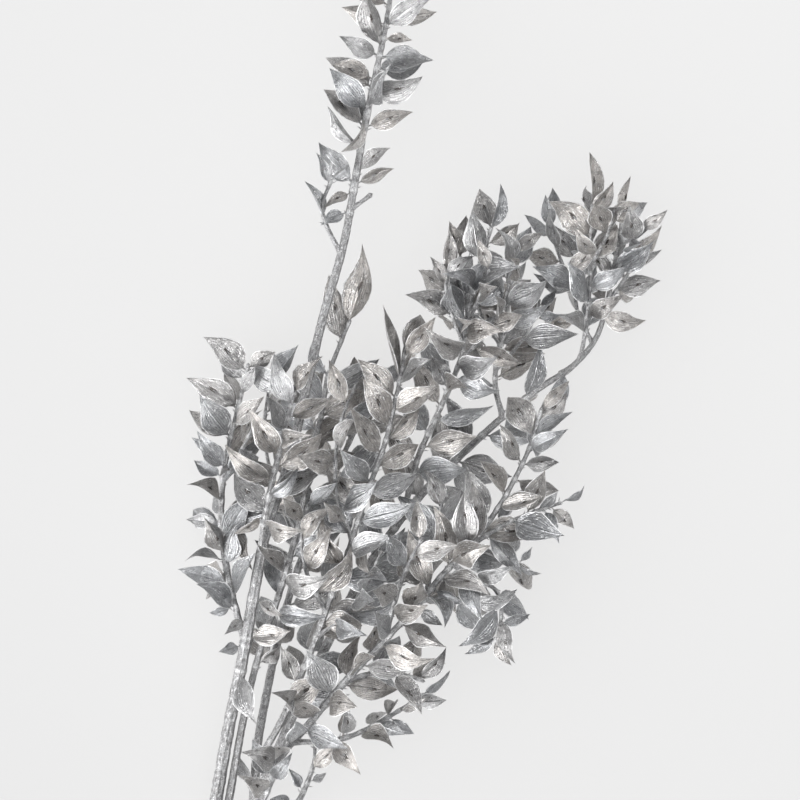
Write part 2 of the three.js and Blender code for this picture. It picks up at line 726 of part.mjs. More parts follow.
function growPlaced(node, rings, [rootX, rootY, tipX, tipY, tipZ, roll], blades) {
  const foot = footOf(rings, rootX, rootY);
  for (let attempt = 0; attempt < STAND.tries; attempt += 1) {
    const step = Math.ceil(attempt / 2) * STAND.lift * (attempt % 2 ? 1 : -1);
    const tip = vec(tipX, tipY, Math.max(tipZ, tipZ + step));
    const reach = tip.distanceTo(foot.at);
    const blade = newBlade(node, foot.at, foot.radius, reach - foot.radius - BLADE.neck);
    blade.along = tip.clone().sub(foot.at).normalize();
    setFrame(blade, foot.along, roll + STAND.liftRoll * step);
    if (takesRoom(blade, CLEAR.restingTip)) {
      blades.push(blade);
      return;
    }
  }
}

function growAt(node, foot, { share, flank, size }, blades) {
  const { side, up } = frameOf(foot.along);
  const full = BLADE.length * size * (STAND.old - STAND.younger * share) * between(...STAND.sizeSpread);
  for (let attempt = 0; attempt < STAND.tries; attempt += 1) {
    const length = attempt < STAND.firstShrink ? full : full * STAND.shrink;
    const blade = newBlade(node, foot.at, foot.radius, length);
    const turn = flank * (Math.PI / 2) + swing(STAND.spread * (1 + attempt / STAND.wider));
    const low = STAND.open[0] + (STAND.openAtTip[0] - STAND.open[0]) * share;
    const high = STAND.open[1] + (STAND.openAtTip[1] - STAND.open[1]) * share;
    const open = between(low, high);
    blade.along = foot.along.clone().multiplyScalar(Math.cos(open))
      .addScaledVector(up, Math.cos(turn) * Math.sin(open))
      .addScaledVector(side, Math.sin(turn) * Math.sin(open));
    setFrame(blade, foot.along, swing(STAND.roll));
    if (takesRoom(blade, CLEAR.floor)) {
      blades.push(blade);
      return;
    }
  }
}

function growStretch(node, rings, [from, to, pitch, size], blades) {
  const whole = rings[rings.length - 1].length;
  let flank = random() < 0.5 ? -1 : 1;
  const step = () => pitch * STAND.crowding * between(...STAND.pitchSpread);
  for (let back = from; back > to; back -= step()) {
    const share = Math.max(0, 1 - back / Math.min(from, STAND.young)) ** STAND.closing;
    growAt(node, pointAt(rings, whole - back), { share, flank, size }, blades);
    flank = -flank;
  }
}

// ---- the pieces -----------------------------------------------------------------

const grown = PLANT.map(({ name, on, shoots }) => ({
  name, on, blades: [],
  shoots: shoots.map((shoot) => ({ ...shoot, rings: ringsOf(shoot.path) })),
}));

grown.forEach(({ name, shoots }) => shoots.forEach(({ rings }) => {
  const whole = rings[rings.length - 1].length;
  for (let length = 0; length < whole; length += CLEAR.woodStep) {
    const { at, radius } = pointAt(rings, length);
    settle(at, { node: name, radius, wood: true, inner: false });
  }
}));

grown.forEach(({ name, shoots, blades }) => shoots.forEach(({ rings, placed }) => {
  placed.forEach((row) => growPlaced(name, rings, row, blades));
}));
grown.forEach(({ name, shoots, blades }) => shoots.forEach(({ rings, leafy }) => {
  leafy.forEach((stretch) => growStretch(name, rings, stretch, blades));
}));

// The oblique cut of the stalk, and the flat that it lies on
function trimStalk(solid) {
  const cut = new THREE.BoxGeometry(...CUT.size).translate(0, -CUT.size[1] / 2, 0);
  cut.rotateX(CUT.slant).rotateZ(CUT.turn).translate(...CUT.at);
  const floor = new THREE.BoxGeometry(...FLOOR).translate(0, 0, -FLOOR[2] / 2);
  return solid.subtract(solidOfGeometry(cut)).subtract(solidOfGeometry(floor));
}

function biggest(solid) {
  return solid.decompose().reduce((best, piece) => (piece.volume() > best.volume() ? piece : best));
}

function pieceSolid({ on, shoots, blades }) {
  const wood = shoots.map(({ rings }) => stemSolid(rings));
  const whole = wasm.Manifold.union([...wood, ...blades.map(bladeSolid)]);
  if (!on) return trimStalk(whole);
  const carrier = grown.find(({ name }) => name === on);
  return biggest(whole.subtract(stemSolid(carrier.shoots[0].rings, SEAT_GAP)));
}

function meshOf(piece) {
  const { vertProperties, triVerts } = pieceSolid(piece).simplify(FINEST).getMesh();
  const geometry = new THREE.BufferGeometry();
  geometry.setAttribute("position", new THREE.BufferAttribute(vertProperties, 3));
  geometry.setIndex(new THREE.BufferAttribute(triVerts, 1));
  geometry.computeVertexNormals();
  const mesh = new THREE.Mesh(geometry, new THREE.MeshStandardMaterial(SILVER));
  mesh.name = piece.name;
  return mesh;
}

const part = new THREE.Group();
grown.forEach((piece) => part.add(meshOf(piece)));

export default part;
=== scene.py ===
# %% [markdown]
# # A silver-painted dried ruscus stem
# One cut stem lies on its back: a woody stalk, the leader that it runs on into, and the
# branches that carry the blades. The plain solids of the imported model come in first. They
# stay the measure of everything: each fine piece below stands for one of them, keeps its
# place and its form, and adds the veins, ribs, joints and paint that the solids lack.

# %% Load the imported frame
import math
from types import SimpleNamespace

import bpy
import numpy as np
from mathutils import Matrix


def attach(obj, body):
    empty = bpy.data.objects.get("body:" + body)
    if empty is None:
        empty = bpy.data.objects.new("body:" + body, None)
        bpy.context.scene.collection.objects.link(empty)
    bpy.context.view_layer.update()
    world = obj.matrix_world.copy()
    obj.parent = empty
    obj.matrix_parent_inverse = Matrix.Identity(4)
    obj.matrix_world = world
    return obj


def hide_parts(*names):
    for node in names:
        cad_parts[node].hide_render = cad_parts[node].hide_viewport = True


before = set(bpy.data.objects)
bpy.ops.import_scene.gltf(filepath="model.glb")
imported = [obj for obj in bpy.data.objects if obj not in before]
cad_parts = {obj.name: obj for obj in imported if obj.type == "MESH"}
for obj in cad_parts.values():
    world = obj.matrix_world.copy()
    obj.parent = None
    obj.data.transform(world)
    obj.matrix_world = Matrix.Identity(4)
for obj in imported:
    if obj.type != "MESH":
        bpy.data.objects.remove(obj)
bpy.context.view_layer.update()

# %% [markdown]
# ## The camera
# The stem is seen from straight above, so the camera looks down with no turn at all. A long
# lens from far away keeps near and far twigs at the same size. The lens follows from the
# width that the picture has to span at the height of the leaves.

# %% Camera straight above the leaves
CAMERA_HEIGHT = 1.65
LEAF_HEIGHT = 0.045  # most blades are about this far above the floor
PICTURE_WIDTH = 0.4
SENSOR = 36  # mm
AIM = (0.125, 0.37)

camera_data = bpy.data.cameras.new("camera")
camera_data.sensor_width = SENSOR
camera_data.lens = SENSOR * (CAMERA_HEIGHT - LEAF_HEIGHT) / PICTURE_WIDTH
camera = bpy.data.objects.new("camera", camera_data)
camera.location = (*AIM, CAMERA_HEIGHT)
bpy.context.scene.collection.objects.link(camera)
bpy.context.scene.camera = camera
print("lens:", round(camera_data.lens, 1), "mm")

# %% [markdown]
# ## The plant as a table
# A ruscus stem is a few woody paths and hundreds of blades. The paths are listed one by one,
# because they decide the outline. Each node of the frame has a name and its shoots. A
# shoot is a path of (x, y, z, radius) in millimetres, the stretches that bear blades (from,
# to, pitch, size, measured back from the tip), and single blades (root x, y, then tip x, y,
# z, then the roll). The cut stalk comes first.

# %% The paths, the leafy stretches and the single blades
PLANT = [
    ("main_stem", [
      ([(-3, -15, 3.9, 4.4), (0, 0, 3.9, 4.4), (4, 22, 4.3, 4.3), (10, 55, 6.5, 4.3), (16, 82, 9.5, 4.1),
        (21, 105, 12.8, 3.8), (26.5, 135, 17.5, 3.4), (32.4, 170.5, 24, 3.1), (39, 207, 30.5, 2.95),
        (46, 240.5, 36, 2.8), (52, 274, 42, 2.65), (59, 308, 46, 2.5), (68.5, 335, 49.5, 2.4),
        (77.5, 372, 53, 2.2), (86.5, 410, 56, 2.1), (97, 447, 58, 1.9), (103, 480, 58.5, 1.7),
        (108, 508, 58.5, 1.5), (113.5, 534, 58, 1.3), (118, 556, 57, 1.1), (121.5, 580, 55.5, 0.9),
        (123, 603, 54, 0.7)],
       [(98, 0, 9, 1)],
       [(121, 561.5, 143.5, 561, 60, 0.1), (117.5, 550, 130.5, 548.5, 66, -0.4),
        (117, 541, 141, 537.5, 63, 0.5), (115, 534, 136.5, 536.5, 51, 0),
        (111.5, 520.5, 136.5, 527.5, 61, -0.2), (108, 505.5, 130.5, 513, 64, 0.3),
        (103.5, 482, 120, 495.5, 64, -0.3), (103, 478, 121.5, 486.5, 56, 0.3),
        (118, 556.5, 96.5, 566, 57, 0.1), (115, 541, 95, 550, 64, -0.3), (112.5, 530, 91, 538, 54, 0.2),
        (107, 513, 90.5, 534.5, 62, -0.2), (106.5, 506, 86, 526, 52, 0.3), (104, 495, 90.5, 516, 60, 0.6),
        (106, 512, 97.5, 491, 68, 0.2), (101.5, 477, 83.5, 496.5, 60, -0.2),
        (100.5, 474, 88, 466, 66, 0.6), (99, 462, 86, 458, 62, 0.2), (46, 235, 54, 207.5, 46, 0.1),
        (48, 252, 70, 254, 50, -0.3), (45, 246, 35, 244, 46, 0.4), (51, 272, 66, 262, 52, 0.2),
        (49.5, 262, 37, 254, 50, 0.5), (113, 533, 100, 553, 66, 0.4)]),
      ([(95.7, 442.5, 57.8, 1.1), (88, 458, 62, 1), (86.5, 466, 63, 0.9), (91, 478.5, 63, 0.7)],
       [],
       [(87.5, 459, 78.5, 478, 66, 1.3), (90, 476, 85, 492, 68, 0.2), (91, 478, 100, 486, 66, 0.6)]),
      ([(101, 465, 58.3, 1), (106.5, 468.5, 61, 0.9), (110.5, 471.5, 62, 1.2)],
       [], []),
    ]),
    ("left_twig", [
      ([(47.5, 248, 37.3, 1.7), (42, 266, 35, 1.6), (38, 283, 32, 1.5), (35, 304, 29, 1.4),
        (35.5, 328.5, 28, 1.3), (39.5, 351.5, 29, 1.1), (44.5, 371, 30, 0.9), (48.5, 388, 31, 0.7)],
       [(126, 0, 6.5, 0.9)],
       [(46.5, 384, 27.5, 403.5, 38, 0.2), (43, 368, 18.5, 382.5, 34, -0.2),
        (40.5, 351.5, 17, 364, 24, 0.2), (38, 342.5, 19.5, 349.5, 34, -0.3), (36, 331, 20, 339, 22, 0.3),
        (35, 310, 16.5, 309.5, 26, -0.2), (36, 289, 17, 292, 34, 1), (37, 284, 28, 269, 32, 0.3),
        (42, 266, 29, 262, 34, -0.2), (35.5, 318, 25, 321, 0, 0.2), (38.5, 280, 25, 283, 8, 0.2),
        (44, 370, 35, 383, 4, 0.2), (37, 306, 50, 284, 36, 0.3), (48, 386, 69, 373.5, 38, 0.3)]),
      ([(36, 332, 28.3, 0.9), (46, 346, 36, 0.8), (52, 358, 40, 0.6)],
       [(30, 0, 7, 0.85)], []),
      ([(35.5, 300, 29.5, 0.9), (45, 316, 33, 0.8), (51, 336, 35, 0.6)],
       [(30, 0, 7, 1)], []),
    ]),
    ("front_twig", [
      ([(55.5, 293, 44.5, 1.5), (57.5, 310, 53, 1.4), (62, 331, 59, 1.3), (66.5, 349, 62, 1.1),
        (70.5, 365, 64, 0.9), (74, 379, 65, 0.7)],
       [(74, 0, 6.5, 1)], [(58.5, 312, 42, 305, 60, -0.3), (60, 321, 74, 336, 62, 0.3)]),
    ]),
    ("second_branch", [
      ([(20.3, 101, 12.2, 2.3), (27, 114, 12.5, 2.2), (32.5, 138, 15.5, 2.1), (38.8, 170.5, 21, 2),
        (46.5, 211.5, 28, 1.75), (54, 242, 33, 1.55), (62.5, 267, 36, 1.5), (70, 292, 38, 1.4),
        (76, 316, 39, 1.3), (80, 340, 39.5, 1.3), (85.5, 362, 40, 1.2), (89, 382, 41, 1.1),
        (95, 398, 43, 1), (100, 410, 45, 0.8)],
       [(168, 24, 7, 1)],
       [(99, 407, 109.5, 446.5, 52, 0.1), (95.5, 399, 88, 432.5, 48, 0.3), (49, 222, 36, 226, 28, 0.2),
        (52, 236, 66, 247, 30, 0.2)]),
      ([(73, 304, 38.5, 1), (64, 322, 34, 0.9), (58, 342, 32, 0.8), (57, 362, 31, 0.7),
        (60, 382, 31, 0.6)],
       [(72, 0, 7, 1)], []),
    ]),
    ("back_branch", [
      ([(13, 68, 7.8, 2.4), (22, 82, 7.5, 2.4), (33, 98, 8, 2.3), (42, 120, 9, 2.3),
        (47.8, 145, 10.5, 2.25), (50.5, 170, 12, 2.2), (52.5, 195, 13.5, 2.1), (57, 220, 15, 2),
        (63, 248, 16.5, 1.8), (73, 284, 18, 1.6), (86, 317, 19, 1.4), (98, 346, 20, 1.2),
        (108, 366, 20, 1), (117, 384, 20, 0.8)],
       [(158, 0, 9, 1)],
       [(50, 173, 40, 190, 18, 0.2), (51.5, 181, 67, 192, 4, 0.2), (86, 317, 97, 305, 0, 0.2),
        (64, 252, 52, 262, 0, 0.3), (112, 374, 124, 386, 0, 0.2)]),
      ([(84, 313, 18.9, 1), (76, 332, 17, 0.9), (72, 352, 16, 0.8), (73, 372, 16, 0.6)],
       [(52, 0, 7, 1)], []),
    ]),
    ("middle_branch", [
      ([(51.7, 184.5, 12.9, 1.8), (58, 195, 18, 1.7), (65, 207.5, 23, 1.7), (73, 226, 30, 1.6),
        (83, 251, 37, 1.5), (91.5, 274, 42.5, 1.4), (98.5, 292, 46, 1.4), (105, 313, 49.5, 1.3),
        (112, 333, 52, 1.2), (118, 350, 54, 1.1), (122, 367, 55, 1), (125.5, 383, 55, 0.8),
        (127.5, 397, 54, 0.7)],
       [(196, 0, 7, 1)],
       [(70, 217, 87.5, 231.5, 40, 0.1), (71, 227, 66, 246, 38, 0.4), (124, 380, 117, 418, 58, 1.2),
        (127, 392, 143, 411, 58, 0.3)]),
      ([(88, 264, 40, 1), (79, 282, 46, 0.9), (76, 300, 50, 0.8), (79, 318, 53, 0.7)],
       [(48, 0, 7, 1)], []),
      ([(101, 301, 47.4, 1), (94, 320, 52, 0.9), (93, 340, 55, 0.8), (96, 360, 56, 0.7),
        (103, 378, 55, 0.6)],
       [(72, 0, 7, 1)], []),
      ([(83, 251, 37, 1), (97, 262, 45, 0.9), (108, 277, 51, 0.8), (116, 295, 55, 0.7)],
       [(46, 0, 7, 1)], []),
    ]),
    ("front_branch", [
      ([(18.6, 94, 11.2, 2), (24.5, 107, 16, 1.9), (34, 126, 20, 1.85), (45, 148, 24, 1.8),
        (56.5, 170, 28, 1.75), (65, 190, 32, 1.7), (79, 207, 37, 1.7), (97.5, 229, 43, 1.6),
        (118, 251, 49, 1.5), (133, 267, 53, 1.4), (146, 283, 56, 1.35), (160, 298, 58, 1.3),
        (172, 314, 58.5, 1.2), (182, 331, 57.5, 1.1), (190, 348, 55, 0.9), (195.5, 366, 52, 0.7)],
       [(244, 0, 7, 1)],
       [(195, 363, 195, 340, 46, 0.4), (189.5, 346, 207, 353, 56, 0.2), (60, 178, 70, 192, 36, 0.2),
        (133, 267, 146, 258, 56, 0.2), (118, 251, 132, 240, 52, 0.3), (146, 283, 152, 263, 50, 0.3),
        (140, 276, 156, 268, 58, 0.2), (185, 337, 204, 340, 50, 0.3), (191, 352, 210, 365, 58, 0.3),
        (195, 364, 209, 380, 54, 0.3)]),
      ([(158, 296, 57.7, 1.1), (168, 303, 60, 1), (180, 310, 61, 0.9), (194, 315.5, 60, 0.8),
        (205, 319, 58, 0.6)],
       [(48, 14, 7, 1)],
       [(205, 319.5, 217, 327.5, 58, 0.8), (199, 318, 212, 305.5, 56, 0.2),
        (196, 316.5, 205, 300, 62, 0.2), (193, 315.5, 203, 325, 64, 0.4)]),
      ([(151, 288.5, 56.8, 1.1), (163, 281, 56, 1), (173, 275, 53, 0.9), (175.5, 262, 50, 0.8),
        (173, 250, 47, 0.6)],
       [(54, 0, 6.5, 1)],
       [(173, 252, 158, 241.5, 44, 0.2), (174, 254, 179, 236.5, 46, 0.2), (175, 258, 190, 262.5, 46, 0.4),
        (172, 249, 159, 250.5, 50, 0.2)]),
      ([(160, 297.5, 58, 0.9), (174, 292, 54, 0.8), (184, 288, 50, 0.6)],
       [(12, 0, 7, 1)], [(184, 288.5, 190.5, 297, 52, 0.4), (182, 289.5, 196, 283.5, 48, 0.2)]),
      ([(97.5, 229, 43, 1.1), (110, 233, 43, 1), (124, 233, 42, 0.9), (137, 229, 41, 0.7)],
       [(40, 0, 7, 1)], [(127, 232.5, 135, 254, 48, 0.3), (134, 230, 149, 245, 44, 0.2)]),
      ([(118, 251, 49, 1.1), (122, 268, 55, 1), (128, 286, 60, 0.9), (136, 302, 63, 0.7)],
       [(50, 0, 7, 1)], []),
      ([(138, 273, 54.2, 1), (141, 288, 50, 0.9), (143, 305, 47, 0.8), (147, 322, 46, 0.6)],
       [(46, 0, 7, 1)], []),
      ([(136, 270.5, 53.6, 1), (150, 272, 54, 0.9), (162, 268, 52, 0.7)],
       [(24, 0, 7, 1)], []),
    ]),
    ("low_right_twig", [
      ([(71.5, 198, 34.4, 1.3), (83, 198, 35, 1.2), (95, 199.5, 36, 1.2), (105, 203, 37, 1.1),
        (117, 209.5, 37, 1), (128, 216, 36, 0.9), (137, 222, 35, 0.7)],
       [(52, 0, 6.5, 0.75)],
       [(136.5, 221.5, 151, 233, 36, 0.3), (119, 211, 132.5, 202, 34, 0.3),
        (112, 206.5, 127, 203, 42, -0.2), (96, 199.5, 98, 215, 42, 0.3), (128, 216, 134, 236, 44, 0.3)]),
    ]),
    ("low_twig", [
      ([(44.5, 147, 23.8, 1.5), (54, 152, 22, 1.4), (64, 157, 22, 1.4), (72.5, 165, 23, 1.3),
        (78, 176, 24, 1.1), (81.5, 187, 25, 0.9), (82, 197, 25, 0.7)],
       [],
       [(80, 179.5, 71.5, 197, 30, 0.2), (81, 182, 95, 197, 32, 0.2), (76, 171, 69, 184, 28, 0.3),
        (78, 176, 88, 181, 24, 0.2), (82, 195, 82, 210, 28, 0.2), (70, 162, 60, 170, 26, 0.3),
        (74, 167, 82, 163, 20, 0.3)]),
    ]),
    ("right_branch", [
      ([(15, 78, 9, 2.5), (22, 90, 9.5, 2.45), (30, 107, 10.5, 2.4), (42, 147, 14.5, 2.4),
        (51.5, 168, 18, 2.35), (61, 188, 20, 2.3), (73, 215, 21.5, 2.2), (87, 244, 22.5, 2.1),
        (101, 272, 23.5, 2), (117, 298, 24.5, 1.9), (138, 324.5, 25.5, 1.8), (160, 346, 26.5, 1.7),
        (180, 364, 27.5, 1.6), (197, 377, 29, 1.5), (212, 387, 31, 1.4), (223, 400, 34, 1.3),
        (228.5, 416, 38, 1.2), (231, 430, 41, 1.1), (234, 446, 43, 0.9), (236, 460, 44, 0.7)],
       [(286, 104, 8.5, 1), (32, 0, 6, 0.85)],
       [(209, 385, 200.5, 362, 24, 0.2), (178, 362.5, 190, 350, 0, 0.2), (152, 338.5, 163, 326, 0, 0.2),
        (236, 461, 241, 482, 44, 0.4)]),
      ([(206, 383, 30.2, 1.2), (214, 389, 38, 1.1), (217.5, 402, 42, 1), (219.5, 420, 45, 0.9),
        (220, 440, 48, 0.8), (221, 468, 50, 0.7)],
       [(64, 0, 6.5, 0.85)],
       [(221, 466, 221, 493, 54, 0.3), (220, 452, 201, 471, 50, 0.2), (221, 462, 232, 478, 56, 0.3)]),
      ([(229.5, 420, 38.8, 0.9), (236, 428, 38, 0.8), (241, 436, 38, 0.6)],
       [(28, 0, 6, 0.85)],
       [(240.5, 435, 256, 458, 38, 0.2), (239, 433, 256, 445, 34, 0.3), (237, 429, 247, 426, 0, 0.2)]),
      ([(231.5, 433, 41.4, 0.9), (240, 446, 50, 0.8), (246, 458, 56, 0.6)],
       [(32, 0, 6, 0.85)], []),
      ([(219.5, 418, 44.8, 0.9), (209, 432, 42, 0.8), (203, 448, 42, 0.7), (200, 460, 43, 0.6)],
       [(42, 0, 6, 0.85)], [(202, 456, 197, 472.5, 44, 0.3)]),
      ([(220, 438, 47.8, 0.9), (227, 450, 56, 0.8), (231, 464, 61, 0.6)],
       [(32, 0, 6, 0.85)], []),
      ([(222, 398.5, 33.7, 0.9), (215, 414, 28, 0.8), (213, 432, 25, 0.7), (215, 448, 24, 0.6)],
       [(44, 0, 6.5, 0.85)], []),
    ]),
    ("head_branch", [
      ([(126, 310, 24.9, 1.5), (129.5, 324, 31, 1.4), (134, 341, 37, 1.3), (141, 357, 42, 1.25),
        (150, 377, 47, 1.2), (155.5, 392, 50, 1.1), (158, 410, 52, 1), (162, 428, 54, 0.9),
        (167, 444, 55, 0.8), (170.5, 456, 56, 0.7)],
       [(140, 0, 7, 1)],
       [(170, 454, 176, 477, 58, 0.3), (152, 381, 174, 373, 52, 0.2), (149, 375, 140, 392, 50, 0.4)]),
      ([(156.5, 399, 50.8, 0.9), (151, 412, 55, 0.8), (148, 424, 57, 0.7), (148, 434, 57, 0.6)],
       [(36, 0, 6, 0.85)],
       [(149, 419, 137, 424, 56, 0.2), (148, 432, 150.5, 454, 58, 0.3), (148, 426, 140, 441, 60, 0.3)]),
      ([(159, 414, 52.4, 0.9), (155, 428, 48, 0.8), (155, 442, 46, 0.6)],
       [(28, 0, 6, 0.85)], [(155, 440, 158.5, 462.5, 46, 0.3)]),
      ([(155, 390.5, 49.7, 0.9), (167, 402, 54, 0.8), (176, 416, 56, 0.8), (180, 432, 56, 0.7),
        (182, 446, 55, 0.6)],
       [(56, 0, 6, 0.85)], []),
      ([(157.5, 406, 51.5, 0.9), (164, 420, 60, 0.8), (169, 434, 65, 0.6)],
       [(32, 0, 6, 0.85)], []),
    ]),
    ("inner_twig", [
      ([(177, 361.3, 27.3, 1.3), (173, 377, 33, 1.2), (174, 392, 36, 1.1), (178, 408, 37, 1),
        (179.5, 424, 37, 0.9), (179, 438, 37, 0.7)],
       [(64, 0, 6.5, 1)], []),
      ([(173.5, 386, 35, 0.9), (183, 396, 40, 0.8), (191, 408, 42, 0.7), (195, 420, 42, 0.6)],
       [(36, 0, 6, 1)], [(193, 413, 206, 412, 42, 0.3), (194, 417, 204, 425, 42, 0.3)]),
      ([(175.5, 398, 36.4, 0.9), (166, 412, 33, 0.8), (163, 428, 32, 0.7)],
       [(34, 0, 6, 1)], []),
    ]),
]


# %% [markdown]
# ## The growth rule
# Placing hundreds of blades by hand would be slow, and scattering them freely would let them
# cut through each other. So a rule walks up each shoot, sets blades on alternate flanks, and
# tries again with a new angle where one has no room. The solids of the frame grew by this
# same rule with this same stream of numbers, so every fine blade lands on its own solid.

# %% Numbers of the rule and its stream of random draws
MM = 0.001
SEED = 3143
RING_STEP = 26  # between two rings of a solid stem
FOOT_STEP = 0.1  # of the way from ring to ring, where a single blade looks for its foot
UP = np.array([0.0, 0.0, 1.0])
BLADE = SimpleNamespace(
    length=26, slimness=(0.48, 0.68),  # full length, and width over length
    neck=1.8, sunk=0.6,  # the neck outside the bark, and how far its foot passes the axis, in radii
    fold=(0.12, 0.7), bow=(-0.08, 0.14), twist=0.6,
    belly=(0.7, 1.05),  # how fast it widens from the root, and narrows to the tip
    folded_up=0.75,  # share of the blades whose halves rise
    straight_at=0.35)  # where along the blade the twist is nought
STAND = SimpleNamespace(
    crowding=1.09, pitch_spread=(0.85, 1.15), size_spread=(0.85, 1.1),
    old=1.05, younger=0.3, young=40, closing=1.5,  # size and posture from the foot to the tip
    open=(0.75, 1.35), open_at_tip=(0.35, 0.8), spread=0.95, roll=0.6, to_light=0.7,
    tries=14, wider=6, first_shrink=9, shrink=0.82, lift=2.5, lift_roll=0.1)  # without room
CLEAR = SimpleNamespace(  # the least gaps in mm, and the share of a blade that counts as its root
    own=2.5, other=3.1, own_wood=0.4, floor=0.35, resting_tip=-0.05, reach=7.5, wood_step=3, root=0.3)


def stream(seed):
    """Numbers from 0 to 1, the same ones on every run."""
    whole = 0xFFFFFFFF
    state = seed
    while True:
        state = (state + 0x6D2B79F5) & whole
        mixed = ((state ^ (state >> 15)) * (state | 1)) & whole
        mixed ^= (mixed + (mixed ^ (mixed >> 7)) * (mixed | 61)) & whole
        yield (mixed ^ (mixed >> 14)) / (whole + 1)


draws = stream(SEED)


def between(low, high):
    return low + (high - low) * next(draws)


def swing(most):
    return between(-most, most)


# %% [markdown]
# A stem bends smoothly through the points of its path. A centripetal Catmull-Rom curve is
# chosen because it passes through every point and makes no loops where two points are close.

# %% Rings along a smooth path
def unit(vector):
    return vector / np.linalg.norm(vector)


def on_curve(points, place):
    span = math.floor(place)
    part = place - span
    p0 = points[span - 1] if span else 2 * points[0] - points[1]
    p1, p2 = points[span], points[span + 1]
    p3 = points[span + 2] if span + 2 < len(points) else 2 * points[-1] - points[-2]
    d0, d1, d2 = (math.sqrt(np.linalg.norm(b - a)) for a, b in ((p0, p1), (p1, p2), (p2, p3)))
    t1 = ((p1 - p0) / d0 - (p2 - p0) / (d0 + d1) + (p2 - p1) / d1) * d1
    t2 = ((p2 - p1) / d1 - (p3 - p1) / (d1 + d2) + (p3 - p2) / d2) * d1
    return p1 + t1 * part + (3 * (p2 - p1) - 2 * t1 - t2) * part**2 + (2 * (p1 - p2) + t1 + t2) * part**3


def rings_of(path, step):
    knots = np.array(path, float)
    points = knots[:, :3]
    spans = len(path) - 1
    spots, radii = [], []
    for span in range(spans):
        count = max(1, math.floor(np.linalg.norm(points[span + 1] - points[span]) / step + 0.5))
        for part in range(count):
            spots.append(on_curve(points, spans * ((span + part / count) / spans)))
            radii.append(knots[span, 3] + (knots[span + 1, 3] - knots[span, 3]) * (part / count))
    at = np.array(spots + [points[-1]])
    ahead = np.vstack([at[1:], at[-1:]]) - np.vstack([at[:1], at[:-1]])
    lengths = np.concatenate([[0.0], np.cumsum(np.linalg.norm(np.diff(at, axis=0), axis=1))])
    along = ahead / np.linalg.norm(ahead, axis=1, keepdims=True)
    return SimpleNamespace(at=at, radius=np.array(radii + [knots[-1, 3]]), along=along, length=lengths)


def frame_of(along):
    """A level direction across a stem, and the one that points up from it."""
    side = unit(np.cross(along, UP))
    return side, unit(np.cross(side, along))


def foot_near(rings, x, y):
    best = None
    for index, (radius, along) in enumerate(zip(rings.radius[:-1], rings.along)):
        part = 0.0
        while part < 1:
            at = rings.at[index] + (rings.at[index + 1] - rings.at[index]) * part
            off = math.hypot(at[0] - x, at[1] - y)
            if best is None or off < best.off:
                best = SimpleNamespace(off=off, at=at, radius=radius, along=along)
            part += FOOT_STEP
    return best


def foot_at(rings, length):
    index = max(1, int(np.argmax(rings.length >= length)))
    start, end = rings.at[index - 1], rings.at[index]
    part = (length - rings.length[index - 1]) / (rings.length[index] - rings.length[index - 1])
    at = start + (end - start) * part
    return SimpleNamespace(at=at, radius=rings.radius[index - 1], along=unit(end - start))


# %% [markdown]
# A blade is a leaf-like flat shoot. On its way out it widens fast from a thin neck, is widest
# a little before the middle and ends in a spine. Its two halves fold on the rib, it bows, and
# it twists. All of that is one formula: where along the blade, where across it, and how far
# off its surface. The rule asks it where the blade would be, and later every vertex of the
# fine blade goes through it too.

# %% The surface of a blade
def outline(u):
    """Half-width along the blade, 1 where it is widest."""
    rise, fall = BLADE.belly
    widest = rise / (rise + fall)
    return u**rise * (1 - u) ** fall / (widest**rise * (1 - widest) ** fall)


def blade_points(blade, u, across, off, push=0.0):
    """Places on a blade: u runs 0 to 1, across is in half-widths, off and push are in mm."""
    turn = (blade.twist * (u - BLADE.straight_at))[:, None]
    side = np.cos(turn) * blade.side + np.sin(turn) * blade.face
    up = np.cos(turn) * blade.face - np.sin(turn) * blade.side
    half = blade.half_width * across
    out = blade.neck + blade.length * u
    bow = blade.bow * blade.length * 4 * u * (1 - u)
    places = blade.root + out[:, None] * blade.along + (bow + push)[:, None] * blade.face
    rise = np.abs(half) * math.sin(blade.fold) + off
    return places + (half * math.cos(blade.fold))[:, None] * side + rise[:, None] * up


def new_blade(root, bark, length, shoot_along):
    half_width = min(length, BLADE.length) * between(*BLADE.slimness) / 2
    fold = between(*BLADE.fold) * (1 if next(draws) < BLADE.folded_up else -1)
    return SimpleNamespace(
        root=root, bark=bark, length=length, neck=bark + BLADE.neck, half_width=half_width, fold=fold,
        bow=between(*BLADE.bow), twist=swing(BLADE.twist), shoot_along=shoot_along)


def turn_to_light(blade, roll):
    face = np.cross(blade.shoot_along, blade.along)
    face = unit(-face if face[2] < 0 else face) + STAND.to_light * UP
    face = unit(face - face.dot(blade.along) * blade.along)
    blade.face = face * math.cos(roll) + np.cross(blade.along, face) * math.sin(roll)
    blade.side = np.cross(blade.along, blade.face)


# %% [markdown]
# Every blade that finds room leaves a cloud of sample points behind. A new blade is tried
# against the points that are near it: those of another node have to keep well away, those of
# its own node a little.

# %% Room for each blade
SAMPLE_U, SAMPLE_V = (grid.T.ravel() for grid in np.meshgrid(
    [0.08, 0.2, 0.32, 0.44, 0.56, 0.68, 0.8, 0.9, 1], [-1, -0.6, -0.2, 0.2, 0.6, 1]))
SAMPLE_ACROSS = outline(SAMPLE_U) * SAMPLE_V
INNER = SAMPLE_U < CLEAR.root
CROWD_SIZE = 40000
crowd = SimpleNamespace(
    at=np.zeros((CROWD_SIZE, 3)), radius=np.zeros(CROWD_SIZE), wood=np.zeros(CROWD_SIZE, bool),
    inner=np.zeros(CROWD_SIZE, bool), node=np.zeros(CROWD_SIZE, int), count=0)


